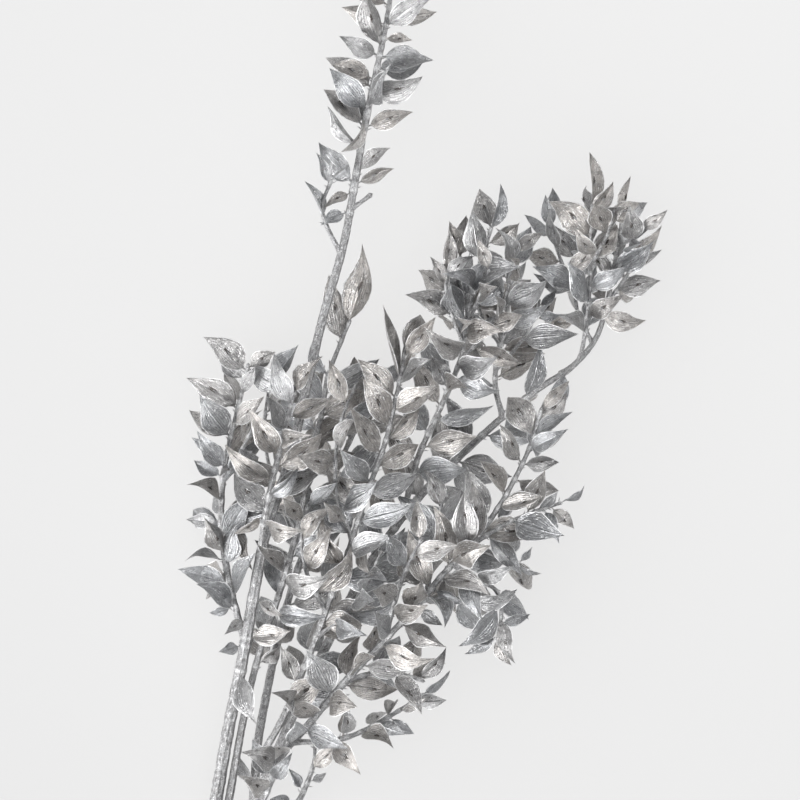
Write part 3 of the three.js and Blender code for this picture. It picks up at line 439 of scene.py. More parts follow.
def settle(points, node, radius=0.0, wood=False, inner=False):
    rows = slice(crowd.count, crowd.count + len(points))
    crowd.at[rows] = points
    crowd.radius[rows], crowd.wood[rows], crowd.inner[rows], crowd.node[rows] = radius, wood, inner, node
    crowd.count = rows.stop


def is_free(points, node):
    seen = crowd.at[:crowd.count]
    low, high = points.min(0) - CLEAR.reach, points.max(0) + CLEAR.reach
    near = np.flatnonzero(np.all((seen > low) & (seen < high), axis=1))
    gaps = np.linalg.norm(points[:, None] - seen[near][None], axis=2)
    own = np.where(crowd.wood[near], crowd.radius[near] + CLEAR.own_wood, CLEAR.own)
    own = np.where(INNER[:, None] | crowd.inner[near], 0.0, own)
    need = np.where(crowd.node[near] != node, crowd.radius[near] + CLEAR.other, own)
    return not np.any(gaps < need)


def takes_room(blade, node, lowest):
    points = blade_points(blade, SAMPLE_U, SAMPLE_ACROSS, 0.0)
    if points[:, 2].min() < lowest or not is_free(points, node):
        return False
    settle(points, node, inner=INNER)
    return True


# %% [markdown]
# There are two ways to set a blade. The ones that shape the outline are placed one by one, and
# only their height gives way. All others follow the rule: pitch by pitch up the shoot, left
# and right in turn, more closed and smaller towards the tip.

# %% Two ways to grow a blade
def grow_placed(node, rings, row, blades):
    root_x, root_y, tip_x, tip_y, tip_z, roll = row
    foot = foot_near(rings, root_x, root_y)
    for attempt in range(STAND.tries):
        step = math.ceil(attempt / 2) * STAND.lift * (1 if attempt % 2 else -1)
        tip = np.array([tip_x, tip_y, max(tip_z, tip_z + step)])
        reach = np.linalg.norm(tip - foot.at)
        blade = new_blade(foot.at, foot.radius, reach - foot.radius - BLADE.neck, foot.along)
        blade.along = unit(tip - foot.at)
        turn_to_light(blade, roll + STAND.lift_roll * step)
        if takes_room(blade, node, CLEAR.resting_tip):
            blades.append(blade)
            return


def grow_by_rule(node, foot, share, flank, size, blades):
    side, up = frame_of(foot.along)
    full = BLADE.length * size * (STAND.old - STAND.younger * share) * between(*STAND.size_spread)
    low, high = (a + (b - a) * share for a, b in zip(STAND.open, STAND.open_at_tip))
    for attempt in range(STAND.tries):
        length = full if attempt < STAND.first_shrink else full * STAND.shrink
        blade = new_blade(foot.at, foot.radius, length, foot.along)
        turn = flank * (math.pi / 2) + swing(STAND.spread * (1 + attempt / STAND.wider))
        opening = between(low, high)
        outward = math.cos(turn) * up + math.sin(turn) * side
        blade.along = math.cos(opening) * foot.along + math.sin(opening) * outward
        turn_to_light(blade, swing(STAND.roll))
        if takes_room(blade, node, CLEAR.floor):
            blades.append(blade)
            return


def grow_stretch(node, rings, stretch, blades):
    start, end, pitch, size = stretch
    flank = -1 if next(draws) < 0.5 else 1
    back = start
    while back > end:
        share = max(0, 1 - back / min(start, STAND.young)) ** STAND.closing
        grow_by_rule(node, foot_at(rings, rings.length[-1] - back), share, flank, size, blades)
        flank = -flank
        back -= pitch * STAND.crowding * between(*STAND.pitch_spread)


# %% [markdown]
# The order matters, because a blade keeps away only from what stands already. All the wood
# goes first, then the blades that shape the outline, and the others fill in between them.

# %% Grow the whole plant
plant = []
for name, shoots in PLANT:
    shoots = [(path, rings_of(path, RING_STEP), leafy, placed) for path, leafy, placed in shoots]
    plant.append(SimpleNamespace(name=name, blades=[], shoots=shoots))
for node, limb in enumerate(plant):
    for path, rings, leafy, placed in limb.shoots:
        for length in np.arange(0, rings.length[-1], CLEAR.wood_step):
            foot = foot_at(rings, length)
            settle(foot.at[None], node, foot.radius, wood=True)
for node, limb in enumerate(plant):
    for path, rings, leafy, placed in limb.shoots:
        for row in placed:
            grow_placed(node, rings, row, limb.blades)
for node, limb in enumerate(plant):
    for path, rings, leafy, placed in limb.shoots:
        for stretch in leafy:
            grow_stretch(node, rings, stretch, limb.blades)
print("blades:", {limb.name: len(limb.blades) for limb in plant})

# %% [markdown]
# ## Finishes
# Everything is sprayed with one silver paint, but it lies differently on each surface: in
# streaks between the veins of a blade, where the streaks are painted highlights, and worn and
# mottled on the bark. The paint is a metal with a satin gloss, so most of what is seen is the
# room in it. A few helpers keep the node trees short. The first adds a node and plugs in its
# inputs, and the others are the sums, ramps, noises, mixes and groups that come back in every
# finish.

# %% Helpers for node trees
def add(tree, kind, inputs=None, **settings):
    node = tree.nodes.new("ShaderNode" + kind)
    for key, value in settings.items():
        setattr(node, key, value)
    for socket, value in (inputs or {}).items():
        if isinstance(value, bpy.types.NodeSocket):
            tree.links.new(value, node.inputs[socket])
        else:
            node.inputs[socket].default_value = value
    return node


def sums(tree, operation, *values):
    return add(tree, "Math", dict(enumerate(values)), operation=operation).outputs[0]


def ramp(tree, value, low, high, to_low=0.0, to_high=1.0):
    inputs = {"Value": value, "From Min": low, "From Max": high, "To Min": to_low, "To Max": to_high}
    return add(tree, "MapRange", inputs, clamp=True).outputs["Result"]


def noise(tree, place, scale, detail=2.0):
    inputs = {"Vector": place, "Scale": scale, "Detail": detail, "Roughness": 0.6}
    return add(tree, "TexNoise", inputs).outputs["Fac"]


def mix(tree, factor, *colors):
    first, second = ((*color, 1) if isinstance(color, tuple) else color for color in colors)
    return add(tree, "Mix", {0: factor, 6: first, 7: second}, data_type="RGBA").outputs[2]


def new_group(name, **given):
    tree = bpy.data.node_groups.new(name, "ShaderNodeTree")
    for socket, kind in given.items():
        tree.interface.new_socket(name=socket, in_out="INPUT", socket_type="NodeSocket" + kind)
    return tree, tree.nodes.new("NodeGroupInput").outputs


def give_out(tree, **made):
    for socket in made:
        tree.interface.new_socket(name=socket, in_out="OUTPUT", socket_type="NodeSocketFloat")
    ends = tree.nodes.new("NodeGroupOutput").inputs
    for socket, value in made.items():
        tree.links.new(value, ends[socket])
    print("group:", tree.name, list(made))


def place_group(tree, group, **given):
    return add(tree, "Group", given, node_tree=group).outputs


def along_and_across(tree):
    """Both coordinates of the UV map."""
    return add(tree, "UVMap", uv_map="UVMap").outputs["UV"]


def carried(tree, name):
    """A number that the mesh carries at each of its points."""
    return add(tree, "Attribute", attribute_name=name).outputs["Fac"]


# %% [markdown]
# Sprayed paint is never even. It has soft patches where the coat is thick or thin, fine glitter
# painted on as highlights where single flakes would catch the light, and pits painted darker as
# shade. Blades, bark and scales all show it, so it is one group with its own sizes for each of them.

# %% The sprayed paint as a group
spray, given = new_group("sprayed_paint", Place="Vector", PatchScale="Float", FlakeScale="Float")
patches = ramp(spray, noise(spray, given["Place"], given["PatchScale"], 4.0), 0.38, 0.64)
grit = noise(spray, given["Place"], given["FlakeScale"], 2.0)
# painted glints on the highest grit, painted shade in its lowest pits
flakes, pits = ramp(spray, grit, 0.6, 0.7), ramp(spray, grit, 0.4, 0.3)
give_out(spray, Patches=patches, Grit=grit, Flakes=flakes, Pits=pits)

# %% [markdown]
# The veins of a blade run from its neck to its spine and close up at both ends. A pattern that
# is measured across the width of the blade does just that, so the veins are waves across the
# second coordinate of its UV map. Between them lie long thin streaks of painted highlight, and
# single painted glints are drawn out the same way. Where a bud sits, the paint has dried off in
# a dark stain that is also painted shadow under the bud's scale.

# %% The veins as a group
VEINS = 12.0
WAVER = 0.08  # how far a vein strays, in widths of the blade
OWN_PATTERN = 60.0  # sets the noise of each blade apart from the next one's
STREAKS, GLINTS = (3.2, 17.0), (11.0, 30.0)  # how many along and across a blade
WITH_BUD = 0.62  # blades whose own number is lower carry a bud
BUD_AT = 0.46
veins, given = new_group("blade_veins", UV="Vector", Place="Vector", Own="Float")
split = add(veins, "SeparateXYZ", {0: given["UV"]}).outputs
waver = sums(veins, "MULTIPLY_ADD", noise(veins, given["Place"], 60.0), WAVER, split["Y"])
ridges = sums(veins, "SINE", sums(veins, "MULTIPLY", waver, 2 * math.pi * VEINS))
across = sums(veins, "ABSOLUTE", sums(veins, "MULTIPLY_ADD", split["Y"], 2.0, -1.0))


def lengthwise(along, crosswise):
    parts = {0: sums(veins, "MULTIPLY", split["X"], along), 1: sums(veins, "MULTIPLY", waver, crosswise),
             2: sums(veins, "MULTIPLY", given["Own"], OWN_PATTERN)}
    return add(veins, "CombineXYZ", parts).outputs[0]


streaks = noise(veins, lengthwise(*STREAKS), 1.0, 3.0)
glints = noise(veins, lengthwise(*GLINTS), 1.0, 1.0)
rib = ramp(veins, across, 0.1, 0.0)
depth = ramp(veins, streaks, 0.35, 0.62, 0.1, 0.6)
on_blade = add(veins, "CombineXYZ", {0: split["X"], 1: sums(veins, "MULTIPLY", across, 0.8)}).outputs[0]
from_bud = add(veins, "VectorMath", {0: on_blade, 1: (BUD_AT, 0, 0)}, operation="DISTANCE").outputs
ragged = sums(veins, "MULTIPLY_ADD", noise(veins, given["Place"], 900.0), 0.14, from_bud["Value"])
has_bud = sums(veins, "LESS_THAN", given["Own"], WITH_BUD)
# the streaks, the rim and the glints are painted highlights; the stain is partly painted shadow under the
# bud's scale
give_out(
    veins,
    Height=sums(veins, "MULTIPLY_ADD", ridges, depth, sums(veins, "MULTIPLY", rib, 2.0)),
    Streaks=ramp(veins, streaks, 0.46, 0.68),
    Rim=ramp(veins, across, 0.925, 0.96),
    Glints=ramp(veins, glints, 0.62, 0.7),
    Stain=sums(veins, "MULTIPLY", ramp(veins, ragged, 0.18, 0.15), has_bud))

# %% [markdown]
# Each finish is a material of its own. The shader stays in the material, and the groups feed
# its colour, roughness and bump.

# %% Helpers for a finish
def new_material(name, metal):
    material = bpy.data.materials.new(name)
    material.use_nodes = True
    tree = material.node_tree
    shader = tree.nodes["Principled BSDF"]
    shader.inputs["Metallic"].default_value = metal
    place = add(tree, "TexCoord").outputs["Object"]
    return material, tree, shader, place


def wire(tree, shader, color, roughness, height, depth):
    bump = add(tree, "Bump", {"Height": height, "Strength": 1.0, "Distance": depth})
    tree.links.new(color, shader.inputs["Base Color"])
    tree.links.new(roughness, shader.inputs["Roughness"])
    tree.links.new(bump.outputs["Normal"], shader.inputs["Normal"])


# %% [markdown]
# No two blades are the same: each one carries a number of its own, from 0 to 1, which makes it
# warmer or cooler. Then come the layers of a painted leaf: dark where the coat is thin, painted
# shade between the veins and in the pits, painted highlights in the streaks, the glints and along
# the rim, and the bud's stain, partly painted shadow.

# %% The silver of the blades
FLAKES = 1500.0  # flakes to a metre, the same paint on blades and bark
DARK = (0.07, 0.068, 0.068)
COOL = (0.45, 0.457, 0.47)
WARM = (0.54, 0.51, 0.484)
BRIGHT = (0.88, 0.88, 0.88)
STAIN = (0.045, 0.036, 0.03)

silver_blade, tree, shader, place = new_material("silver_blade", 0.82)
own = carried(tree, "own")
paint = place_group(tree, spray, Place=place, PatchScale=330.0, FlakeScale=FLAKES)
lines = place_group(tree, veins, UV=along_and_across(tree), Place=place, Own=own)
body = mix(tree, ramp(tree, own, 0.2, 0.8), WARM, COOL)
body = mix(tree, ramp(tree, paint["Patches"], 0.0, 1.0, 0.35, 0.0), body, DARK)  # thin coat
# painted highlight in the streaks
body = mix(tree, ramp(tree, lines["Streaks"], 0.0, 1.0, 0.0, 0.25), body, BRIGHT)
# painted shade between the veins
body = mix(tree, ramp(tree, lines["Height"], -0.5, 0.1, 0.3, 0.0), body, DARK)  # between the veins
# painted shade in the pits
body = mix(tree, ramp(tree, paint["Pits"], 0.0, 1.0, 0.0, 0.75), body, DARK)
# the bud's stain, partly its own dark and partly painted shadow under its scale
body = mix(tree, lines["Stain"], body, STAIN)
rim = sums(tree, "MULTIPLY", lines["Rim"], ramp(tree, paint["Patches"], 0.0, 0.5, 0.45, 1.0))
# painted highlights along the rim and in the glints
body = mix(tree, sums(tree, "MAXIMUM", rim, lines["Glints"]), body, BRIGHT)
gloss = ramp(tree, sums(tree, "SUBTRACT", paint["Patches"], lines["Streaks"]), -1.0, 1.0, 0.23, 0.42)
relief = sums(tree, "MULTIPLY_ADD", lines["Glints"], 0.5, lines["Height"])
relief = sums(tree, "MULTIPLY_ADD", paint["Grit"], 1.7, relief)
relief = sums(tree, "MULTIPLY_ADD", paint["Patches"], 1.1, relief)
wire(tree, shader, body, gloss, relief, 0.00015)
# the painted rim highlight and the stain with its painted shadow get little metal
dull = sums(tree, "MAXIMUM", rim, lines["Stain"])  # a pale rim and a dark stain mirror nothing
tree.links.new(ramp(tree, dull, 0.0, 1.0, 0.77, 0.1), shader.inputs["Metallic"])
print("finish:", silver_blade.name)

# %% [markdown]
# On the bark the paint is thinner and rubbed, so it shows less metal. Fine grooves run along
# the stem, with painted shade where they are deep and a painted highlight on the ridges between
# them. At the joints, where blades are seated, glints are painted on in flecks.

# %% The silver of the bark
GRAIN = (0.35, 20.0)  # grooves to a millimetre of length, and round the stem
PAINTED_BARK, WORN_BARK = (0.41, 0.41, 0.415), (0.15, 0.14, 0.135)

silver_bark, tree, shader, place = new_material("silver_bark", 0.42)
paint = place_group(tree, spray, Place=place, PatchScale=420.0, FlakeScale=FLAKES)
along = add(tree, "SeparateXYZ", {0: along_and_across(tree)}).outputs
stretched = {index: sums(tree, "MULTIPLY", along["XY"[index]], GRAIN[index]) for index in (0, 1)}
grain = noise(tree, add(tree, "CombineXYZ", stretched).outputs[0], 1.0, 3.0)
joint = sums(tree, "MULTIPLY", carried(tree, "joint"), paint["Grit"])
body = mix(tree, ramp(tree, paint["Patches"], 0.0, 1.0, 0.55, 0.0), PAINTED_BARK, WORN_BARK)
# painted shade in the deep grooves
body = mix(tree, ramp(tree, grain, 0.34, 0.5, 0.5, 0.0), body, DARK)
# painted highlight on the ridges between the grooves
body = mix(tree, ramp(tree, grain, 0.52, 0.66, 0.0, 0.4), body, BRIGHT)
# painted shade in the pits
body = mix(tree, ramp(tree, paint["Pits"], 0.0, 1.0, 0.0, 0.7), body, DARK)
# painted glints: the flakes, and flecks at the joints where blades are seated
caught = sums(tree, "MAXIMUM", paint["Flakes"], ramp(tree, joint, 0.2, 0.6, 0.0, 0.8))
body = mix(tree, caught, body, BRIGHT)
gloss = ramp(tree, grain, 0.3, 0.7, 0.68, 0.46)
relief = sums(tree, "MULTIPLY_ADD", paint["Grit"], 0.6, grain)
relief = sums(tree, "MULTIPLY_ADD", paint["Patches"], 0.8, relief)
wire(tree, shader, body, gloss, relief, 0.0004)
print("finish:", silver_bark.name)

# %% [markdown]
# A dry bud takes hardly any paint. Its dark is partly its own and partly painted shadow under its
# scale, and a few flakes are painted on as glints. The cut end has no paint: it is pale wood
# with darker spots where its vessels open.

# %% The dark buds and the cut wood
BUD_DARK, BUD_PALE = (0.035, 0.026, 0.022), (0.1, 0.085, 0.075)
WOOD_DARK, WOOD_PALE = (0.2, 0.14, 0.085), (0.42, 0.33, 0.22)

dark_bud, tree, shader, place = new_material("dark_bud", 0.25)
paint = place_group(tree, spray, Place=place, PatchScale=400.0, FlakeScale=2 * FLAKES)
# the bud's dark, partly its own and partly painted shadow under its scale
body = mix(tree, paint["Patches"], BUD_DARK, BUD_PALE)
# painted glints of a few flakes
body = mix(tree, paint["Flakes"], body, BRIGHT)
wire(tree, shader, body, ramp(tree, paint["Patches"], 0.0, 1.0, 0.6, 0.4), paint["Patches"], 0.0002)

bare_wood, tree, shader, place = new_material("bare_wood", 0.0)
spots = noise(tree, place, 900.0, 3.0)
body = mix(tree, ramp(tree, spots, 0.35, 0.65), WOOD_DARK, WOOD_PALE)
wire(tree, shader, body, ramp(tree, spots, 0.3, 0.7, 0.7, 0.85), spots, 0.0002)
print("finishes:", dark_bud.name, bare_wood.name)

# %% [markdown]
# ## Patterns
# Stems, blades and scales are all long closed shapes, so they start alike: a flat grid is
# rolled into a tube, its seam is welded, and its two end rings shrink to a point. A modeller
# would do the same with a sheet and a simple deform. The tube is made straight, along x, and
# is laid on its place afterwards.

# %% A straight closed tube from a flat grid
WELD = 1e-4


def points_of(thing):
    flat = np.empty(len(thing.data.vertices) * 3, np.float32)
    thing.data.vertices.foreach_get("co", flat)
    return flat.reshape(-1, 3).astype(float)


def move_points(thing, points):
    thing.data.vertices.foreach_set("co", np.ascontiguousarray(points, np.float32).ravel())
    thing.data.update()


def carry(thing, name, values):
    thing.data.attributes.new(name, "FLOAT", "POINT").data.foreach_set("value", values)


def edit_all(thing, *steps):
    bpy.ops.object.select_all(action="DESELECT")
    bpy.context.view_layer.objects.active = thing
    thing.select_set(True)
    bpy.ops.object.mode_set(mode="EDIT")
    bpy.ops.mesh.select_all(action="SELECT")
    for step, settings in steps:
        step(**settings)
    bpy.ops.object.mode_set(mode="OBJECT")


def straight_tube(name, stations, widths, heights, sides, ribs=0.0):
    """A closed tube along x. Widths and heights are its half-sizes at each station."""
    stations, widths, heights = (np.array(row, float) for row in (stations, widths, heights))
    bpy.ops.object.select_all(action="DESELECT")
    bpy.ops.mesh.primitive_grid_add(x_subdivisions=len(stations) - 1, y_subdivisions=sides, size=1)
    tube = bpy.context.object
    tube.name = name
    flat = points_of(tube) + 0.5
    row = np.rint(flat[:, 0] * (len(stations) - 1)).astype(int)
    turn = 2 * math.pi * flat[:, 1]
    swell = 1 + ribs * np.cos(turn * sides / 2)
    move_points(tube, np.stack([stations[row], widths[row] * np.cos(turn) * swell,
                                heights[row] * np.sin(turn) * swell], axis=1))
    uv = tube.data.uv_layers.active
    flat = np.empty(len(uv.data) * 2, np.float32)
    uv.data.foreach_get("uv", flat)
    flat = flat.reshape(-1, 2)
    flat[:, 0] = stations[np.rint(flat[:, 0] * (len(stations) - 1)).astype(int)]
    uv.data.foreach_set("uv", flat.ravel())
    uv.name = "UVMap"
    edit_all(tube, (bpy.ops.mesh.remove_doubles, {"threshold": WELD}),
             (bpy.ops.mesh.normals_make_consistent, {"inside": False}))
    return tube


# %% [markdown]
# The pattern blade is flat and straight: a thin neck, nine rings on the way to the spine, and
# eight points round each, so it has a rib above and below and two thin rims. It gets no more
# faces than that, because hundreds of blades are made from it. Its UV map tells the veins how
# far along and how far across they are.

# %% The pattern blade
NECK_WIDTH = 0.09  # in half-widths of the blade
TAPER, TAPER_FROM = 0.7, 0.45  # how much slimmer than its solid it gets, and from where on
BLADE_SIDES = 8
BLADE_STATIONS = [-1, 0, 0.06, 0.17, 0.3, 0.44, 0.58, 0.72, 0.85, 0.95, 1]
leaf_widths = [outline(u) * (1 - TAPER * max(0, u - TAPER_FROM)) for u in BLADE_STATIONS[2:-1]]
BLADE_WIDTHS = [0, NECK_WIDTH, *leaf_widths, 0]
BLADE_HEIGHTS = [0, 0.42, 0.36, 0.32, 0.3, 0.28, 0.28, 0.26, 0.2, 0.13, 0]  # mm

blade_pattern = straight_tube("blade_pattern", BLADE_STATIONS, BLADE_WIDTHS, BLADE_HEIGHTS, BLADE_SIDES)
uv = blade_pattern.data.uv_layers["UVMap"].data
flat = np.empty(len(uv) * 2, np.float32)
uv.foreach_get("uv", flat)
flat[1::2] = 0.5 + 0.5 * np.cos(2 * math.pi * flat[1::2])
uv.foreach_set("uv", flat)
blade_pattern.data.materials.append(silver_blade)
print("faces of the pattern blade:", len(blade_pattern.data.polygons))

# %% [markdown]
# Ruscus flowers from the middle of its blades. What is left when it dries is a dark bud on the
# rib with a small scale over it, and another small scale sits under the neck of every blade.
# The bud's dark is partly its own and partly painted shadow under its scale.
# All three are one tiny spindle of two cones.

# %% The pattern scale and the pattern bud
scale_pattern = straight_tube("scale_pattern", [0, 0.4, 1], [0, 1, 0], [0, 1, 0], 4)
scale_pattern.data.materials.append(silver_bark)
bud_pattern = straight_tube("bud_pattern", [0, 0.5, 1], [0, 1, 0], [0, 1, 0], 5)
bud_pattern.data.materials.append(dark_bud)
print("faces of a scale and a bud:", [len(thing.data.polygons) for thing in (scale_pattern, bud_pattern)])

# %% [markdown]
# ## Laying the patterns on their places
# Every copy gets its own mesh. A blade goes through the same formula as its solid, and then
# gets what the solid lacks: cupped halves, wavy rims and a tip that curls. These come from a
# second stream of numbers, so that they don't disturb the rule.

# %% Copies of the patterns
RUFFLE = SimpleNamespace(
    cup=(-0.14, 0.2), wave=(0.0, 0.16), ripples=7.5, slant=1.6, calm=6,  # the two halves and their rims
    tip_from=0.55, tip=0.45, curl=(-0.2, 0.06), aside=(-0.1, 0.1))  # the tip, in lengths
SCALE = SimpleNamespace(  # under the neck, in mm; seat is in radii of the stem
    seat=0.75, back=1.4, ahead=1.6, out=2.6, spread=(0.6, 1.1), width=0.65, thickness=0.28)
BUD_FROM = 13  # mm, the shortest blade that can carry a bud
BUD_SIZE, BUD_SCALE_SIZE = (0.8, 0.5), (0.5, 0.16)  # half a width and half a thickness each
BUD_ALONG, BUD_OFF = (-0.09, 0.09, -0.13), (0.3, 0.3, 0.35)  # both ends of a bud, root of its scale
BUD_SCALE_TIP = SimpleNamespace(along=(-0.02, 0.06), off=(0.9, 1.6))
fancy = stream(SEED + 1)


def pick(low, high):
    return low + (high - low) * next(fancy)


def copy_of(pattern, points):
    copy = pattern.copy()
    copy.data = pattern.data.copy()
    bpy.context.scene.collection.objects.link(copy)
    points[:, 2] = np.maximum(points[:, 2], 0.0)
    move_points(copy, points * MM)
    return copy


def lay_blade(blade):
    x, y, z = points_of(blade_pattern).T
    u = np.clip(x, 0, 1)
    widths = np.interp(x, BLADE_STATIONS, BLADE_WIDTHS)
    v = np.divide(y, widths, out=np.zeros_like(y), where=widths > 1e-6)
    tip = np.clip((u - RUFFLE.tip_from) / RUFFLE.tip, 0, 1) ** 2
    cup, wave, phase = pick(*RUFFLE.cup), pick(*RUFFLE.wave), pick(0, 2 * math.pi)
    off = z + blade.half_width * widths * 4 * cup * np.abs(v) * (1 - np.abs(v))
    ripple = np.sin(RUFFLE.ripples * u + phase + RUFFLE.slant * v) * np.minimum(1, RUFFLE.calm * widths)
    off += blade.half_width * wave * v**2 * ripple
    points = blade_points(blade, u, y, off, blade.length * pick(*RUFFLE.curl) * tip)
    points += (blade.length * pick(*RUFFLE.aside) * tip)[:, None] * blade.side
    points += (np.minimum(x, 0) * (blade.neck + BLADE.sunk * blade.bark))[:, None] * blade.along
    copy = copy_of(blade_pattern, points)
    blade.own = pick(0, 1) if blade.length > BUD_FROM else pick(WITH_BUD, 1)
    carry(copy, "own", np.full(len(x), blade.own))
    return copy


def lay_spindle(pattern, root, tip, side, width, height):
    x, y, z = points_of(pattern).T
    reach = tip - root
    up = unit(np.cross(reach, side))
    across = unit(np.cross(up, reach))
    points = root + x[:, None] * reach + (width * y)[:, None] * across + (height * z)[:, None] * up
    return copy_of(pattern, points)


def small_parts(blade):
    """The scale under the neck and, on most blades, the bud on the rib with its own scale."""
    out = unit(blade.along - blade.along.dot(blade.shoot_along) * blade.shoot_along)
    root = blade.root + SCALE.seat * blade.bark * out - SCALE.back * blade.shoot_along
    tip = root + SCALE.ahead * blade.shoot_along + SCALE.out * out * pick(*SCALE.spread)
    side = np.cross(out, blade.shoot_along)
    parts = [lay_spindle(scale_pattern, root, tip, side, SCALE.width, SCALE.thickness)]
    if blade.own < WITH_BUD:
        u = BUD_AT + np.array([*BUD_ALONG, pick(*BUD_SCALE_TIP.along)])
        off = np.array([*BUD_OFF, pick(*BUD_SCALE_TIP.off)])
        bud, bud_tip, scale, scale_tip = blade_points(blade, u, np.zeros(4), off)
        parts.append(lay_spindle(bud_pattern, bud, bud_tip, blade.side, *BUD_SIZE))
        parts.append(lay_spindle(scale_pattern, scale, scale_tip, blade.side, *BUD_SCALE_SIZE))
    return parts


# %% [markdown]
# A stem is a ribbed tube with a ring every two millimetres. It swells where a blade is seated,
# has a collar where it leaves the wood that carries it, and narrows to a bud at its tip.

# %% A fine stem
FINE_STEP = 2.2
STALK, TWIG = 3, 1.6  # radii; the stalk is thicker and has no collar, a twig is thinner
JOINT_REACH, JOINT_SWELL = 1.6, 0.28
COLLAR, COLLAR_LENGTH = 0.5, 3  # the collar's share of the radius, and how fast it fades
UNEVEN, WAVES = 0.05, (0.9, 0.37)  # how much the thickness varies, and how often
BARK_RIBS = 0.07


def lay_stem(path, feet):
    rings = rings_of(path, FINE_STEP)
    thick = rings.radius[0]
    gaps = np.linalg.norm(rings.at[:, None] - feet[None], axis=2).min(1)
    joint = np.exp(-(gaps / JOINT_REACH) ** 2)
    collar = 1 + COLLAR * np.exp(-rings.length / COLLAR_LENGTH) * (thick < STALK)
    radii = rings.radius * collar + JOINT_SWELL * joint
    radii *= 1 + UNEVEN * np.sin(rings.length * WAVES[0]) * np.sin(rings.length * WAVES[1] + thick)
    stations = [0, *rings.length, rings.length[-1] + radii[-1]]
    radii = [0, *radii, 0]
    sides = 16 if thick > STALK else 12 if thick > TWIG else 8
    tube = straight_tube("stem", stations, radii, radii, sides, ribs=BARK_RIBS)
    tube.data.materials.append(silver_bark)
    x, y, z = points_of(tube).T
    frames = np.array([np.concatenate(frame_of(along)) for along in rings.along])
    at = np.vstack([rings.at, rings.at[-1] + rings.along[-1] * radii[-2]])
    table = np.hstack([at, np.vstack([frames, frames[-1:]])])
    here = np.stack([np.interp(x, stations[1:], column) for column in table.T], axis=1)
    axis, side, up = np.split(here, 3, axis=1)
    points = axis + y[:, None] * side + z[:, None] * up
    points[:, 2] = np.maximum(points[:, 2], 0.0)
    move_points(tube, points * MM)
    carry(tube, "joint", np.interp(x, rings.length, joint).astype(np.float32))
    return tube


# %% [markdown]
# The stalk was cut off with one slanting stroke. The cut takes the end off the fine stalk as
# it does off the solid one, and the fresh face is bare wood.

# %% The slanting cut
CUT_PLACE = (-0.002, -0.0125, 0.004)
CUT_NORMAL = (0.1233, 0.816, -0.5646)


def cut_stalk(stalk):
    stalk.data.materials.append(bare_wood)
    stalk.active_material_index = 1
    edit_all(stalk, (bpy.ops.mesh.bisect, {"plane_co": CUT_PLACE, "plane_no": CUT_NORMAL,
                                           "use_fill": True, "clear_inner": True}),
             (bpy.ops.object.material_slot_assign, {}))


# %% [markdown]
# ## One fine piece for each node
# All parts of a node are joined into one object, because they never move apart. Overlapping
# closed shapes are left as they are: they are rooted in each other as the real ones are.

# %% Build the pieces
SHARP = math.radians(38)


def build_piece(limb):
    feet = np.array([blade.root for blade in limb.blades])
    parts = [lay_stem(path, feet) for path, rings, leafy, placed in limb.shoots]
    if limb is plant[0]:
        cut_stalk(parts[0])
    for blade in limb.blades:
        parts.append(lay_blade(blade))
        parts.extend(small_parts(blade))
    bpy.ops.object.select_all(action="DESELECT")
    for part in parts:
        part.select_set(True)
    piece = parts[0]
    bpy.context.view_layer.objects.active = piece
    bpy.ops.object.join()
    piece.name = piece.data.name = limb.name + "_fine"
    edit_all(piece, (bpy.ops.mesh.normals_make_consistent, {"inside": False}))
    bpy.ops.object.shade_smooth_by_angle(angle=SHARP)
    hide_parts(limb.name)
    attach(piece, "root")
    return piece


pieces = [build_piece(limb) for limb in plant]
for pattern in (blade_pattern, scale_pattern, bud_pattern):
    bpy.data.objects.remove(pattern)
for piece in pieces:
    piece.data.calc_loop_triangles()
print("triangles:", {piece.name: len(piece.data.loop_triangles) for piece in pieces})

# %% [markdown]
# ## Floor and light
# The stem lies on a plain pale floor, a matt sheet that is far larger than the plant, so that
# its edge stays out of the picture.

# %% The floor
FLOOR_SIZE = 6
FLOOR_COLOR = (0.43, 0.428, 0.425)
FLOOR_ROUGHNESS = 0.9

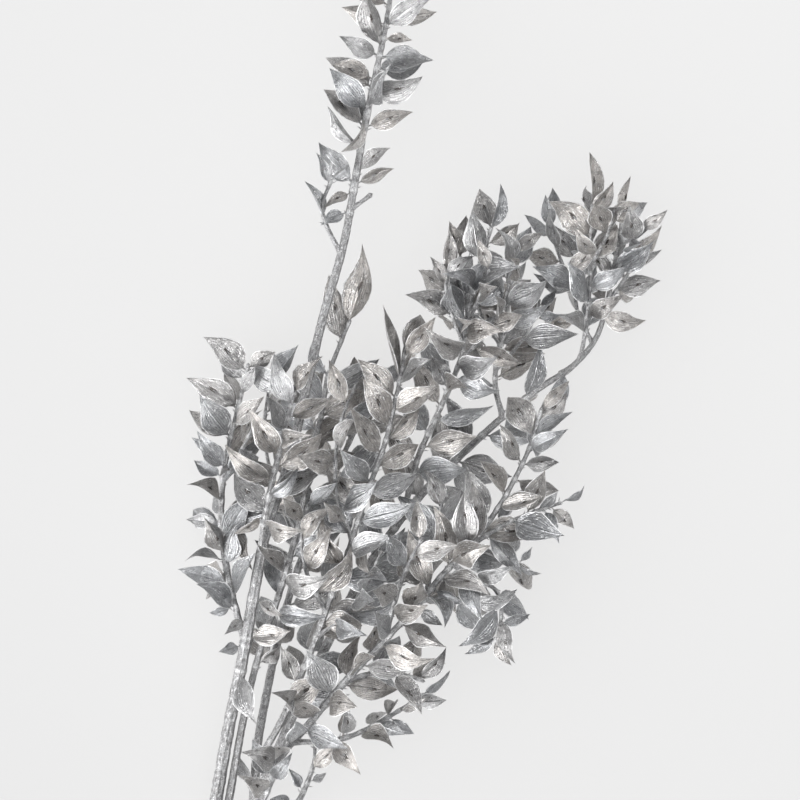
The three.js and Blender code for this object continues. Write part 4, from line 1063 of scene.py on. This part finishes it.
bpy.ops.object.select_all(action="DESELECT")
bpy.ops.mesh.primitive_plane_add(size=FLOOR_SIZE, location=(*AIM, 0))
floor = bpy.context.object
floor.name = "floor"
pale_floor, tree, shader, place = new_material("pale_floor", 0.0)
shader.inputs["Base Color"].default_value = (*FLOOR_COLOR, 1)
shader.inputs["Roughness"].default_value = FLOOR_ROUGHNESS
floor.data.materials.append(pale_floor)
print("floor:", FLOOR_SIZE, "m wide")

# %% [markdown]
# Silver only looks like silver if it has something to mirror, so the room is soft and uneven:
# brighter to the left, darker to the right. As in a studio, the leaves and the backdrop are
# lit apart: flags keep the key and the weaker second light off the floor, and the floor has a
# panel of its own. Light linking does the flagging.

# %% The light
PANELS = {  # place, size and watts to a square metre of each panel; they all face the leaves
    "key": ((-0.95, -0.6, 0.95), 0.95, 43.2),
    "second": ((1.3, 1.15, 1.1), 0.6, 56.0),
    "backdrop": ((0.3, 0.6, 2.4), 2.0, 27.2),
}
LIT_FROM = (-0.86, -0.45, 0.24)
ROOM_DARK, ROOM_BRIGHT = (0.045, 0.049, 0.058), (0.82, 0.83, 0.85)

leaves, backdrop = (bpy.data.collections.new(name) for name in ("leaves", "backdrop"))
for piece in pieces:
    leaves.objects.link(piece)
backdrop.objects.link(floor)
for name, (place, size, brightness) in PANELS.items():
    light = bpy.data.lights.new(name, "AREA")
    light.shape, light.size, light.energy = "SQUARE", size, brightness * size**2
    panel = bpy.data.objects.new(name, light)
    panel.location = place
    toward = np.array([*AIM, LEAF_HEIGHT]) - np.array(place)
    panel.rotation_euler = (math.acos(-unit(toward)[2]), 0, math.atan2(-toward[0], toward[1]))
    bpy.context.scene.collection.objects.link(panel)
    panel.light_linking.receiver_collection = backdrop if name == "backdrop" else leaves
    if name == "backdrop":
        panel.light_linking.blocker_collection = backdrop

world = bpy.data.worlds.new("room")
bpy.context.scene.world = world
world.use_nodes = True
room = world.node_tree
toward = add(room, "TexCoord").outputs["Generated"]
lit_side = add(room, "VectorMath", {0: toward, 1: LIT_FROM}, operation="DOT_PRODUCT").outputs["Value"]
background = room.nodes["Background"]
wall = mix(room, ramp(room, lit_side, -0.7, 0.95), ROOM_DARK, ROOM_BRIGHT)
room.links.new(wall, background.inputs["Color"])
background.inputs["Strength"].default_value = 1.0
bpy.context.scene.view_settings.view_transform = "Standard"
print("panels:", list(PANELS))
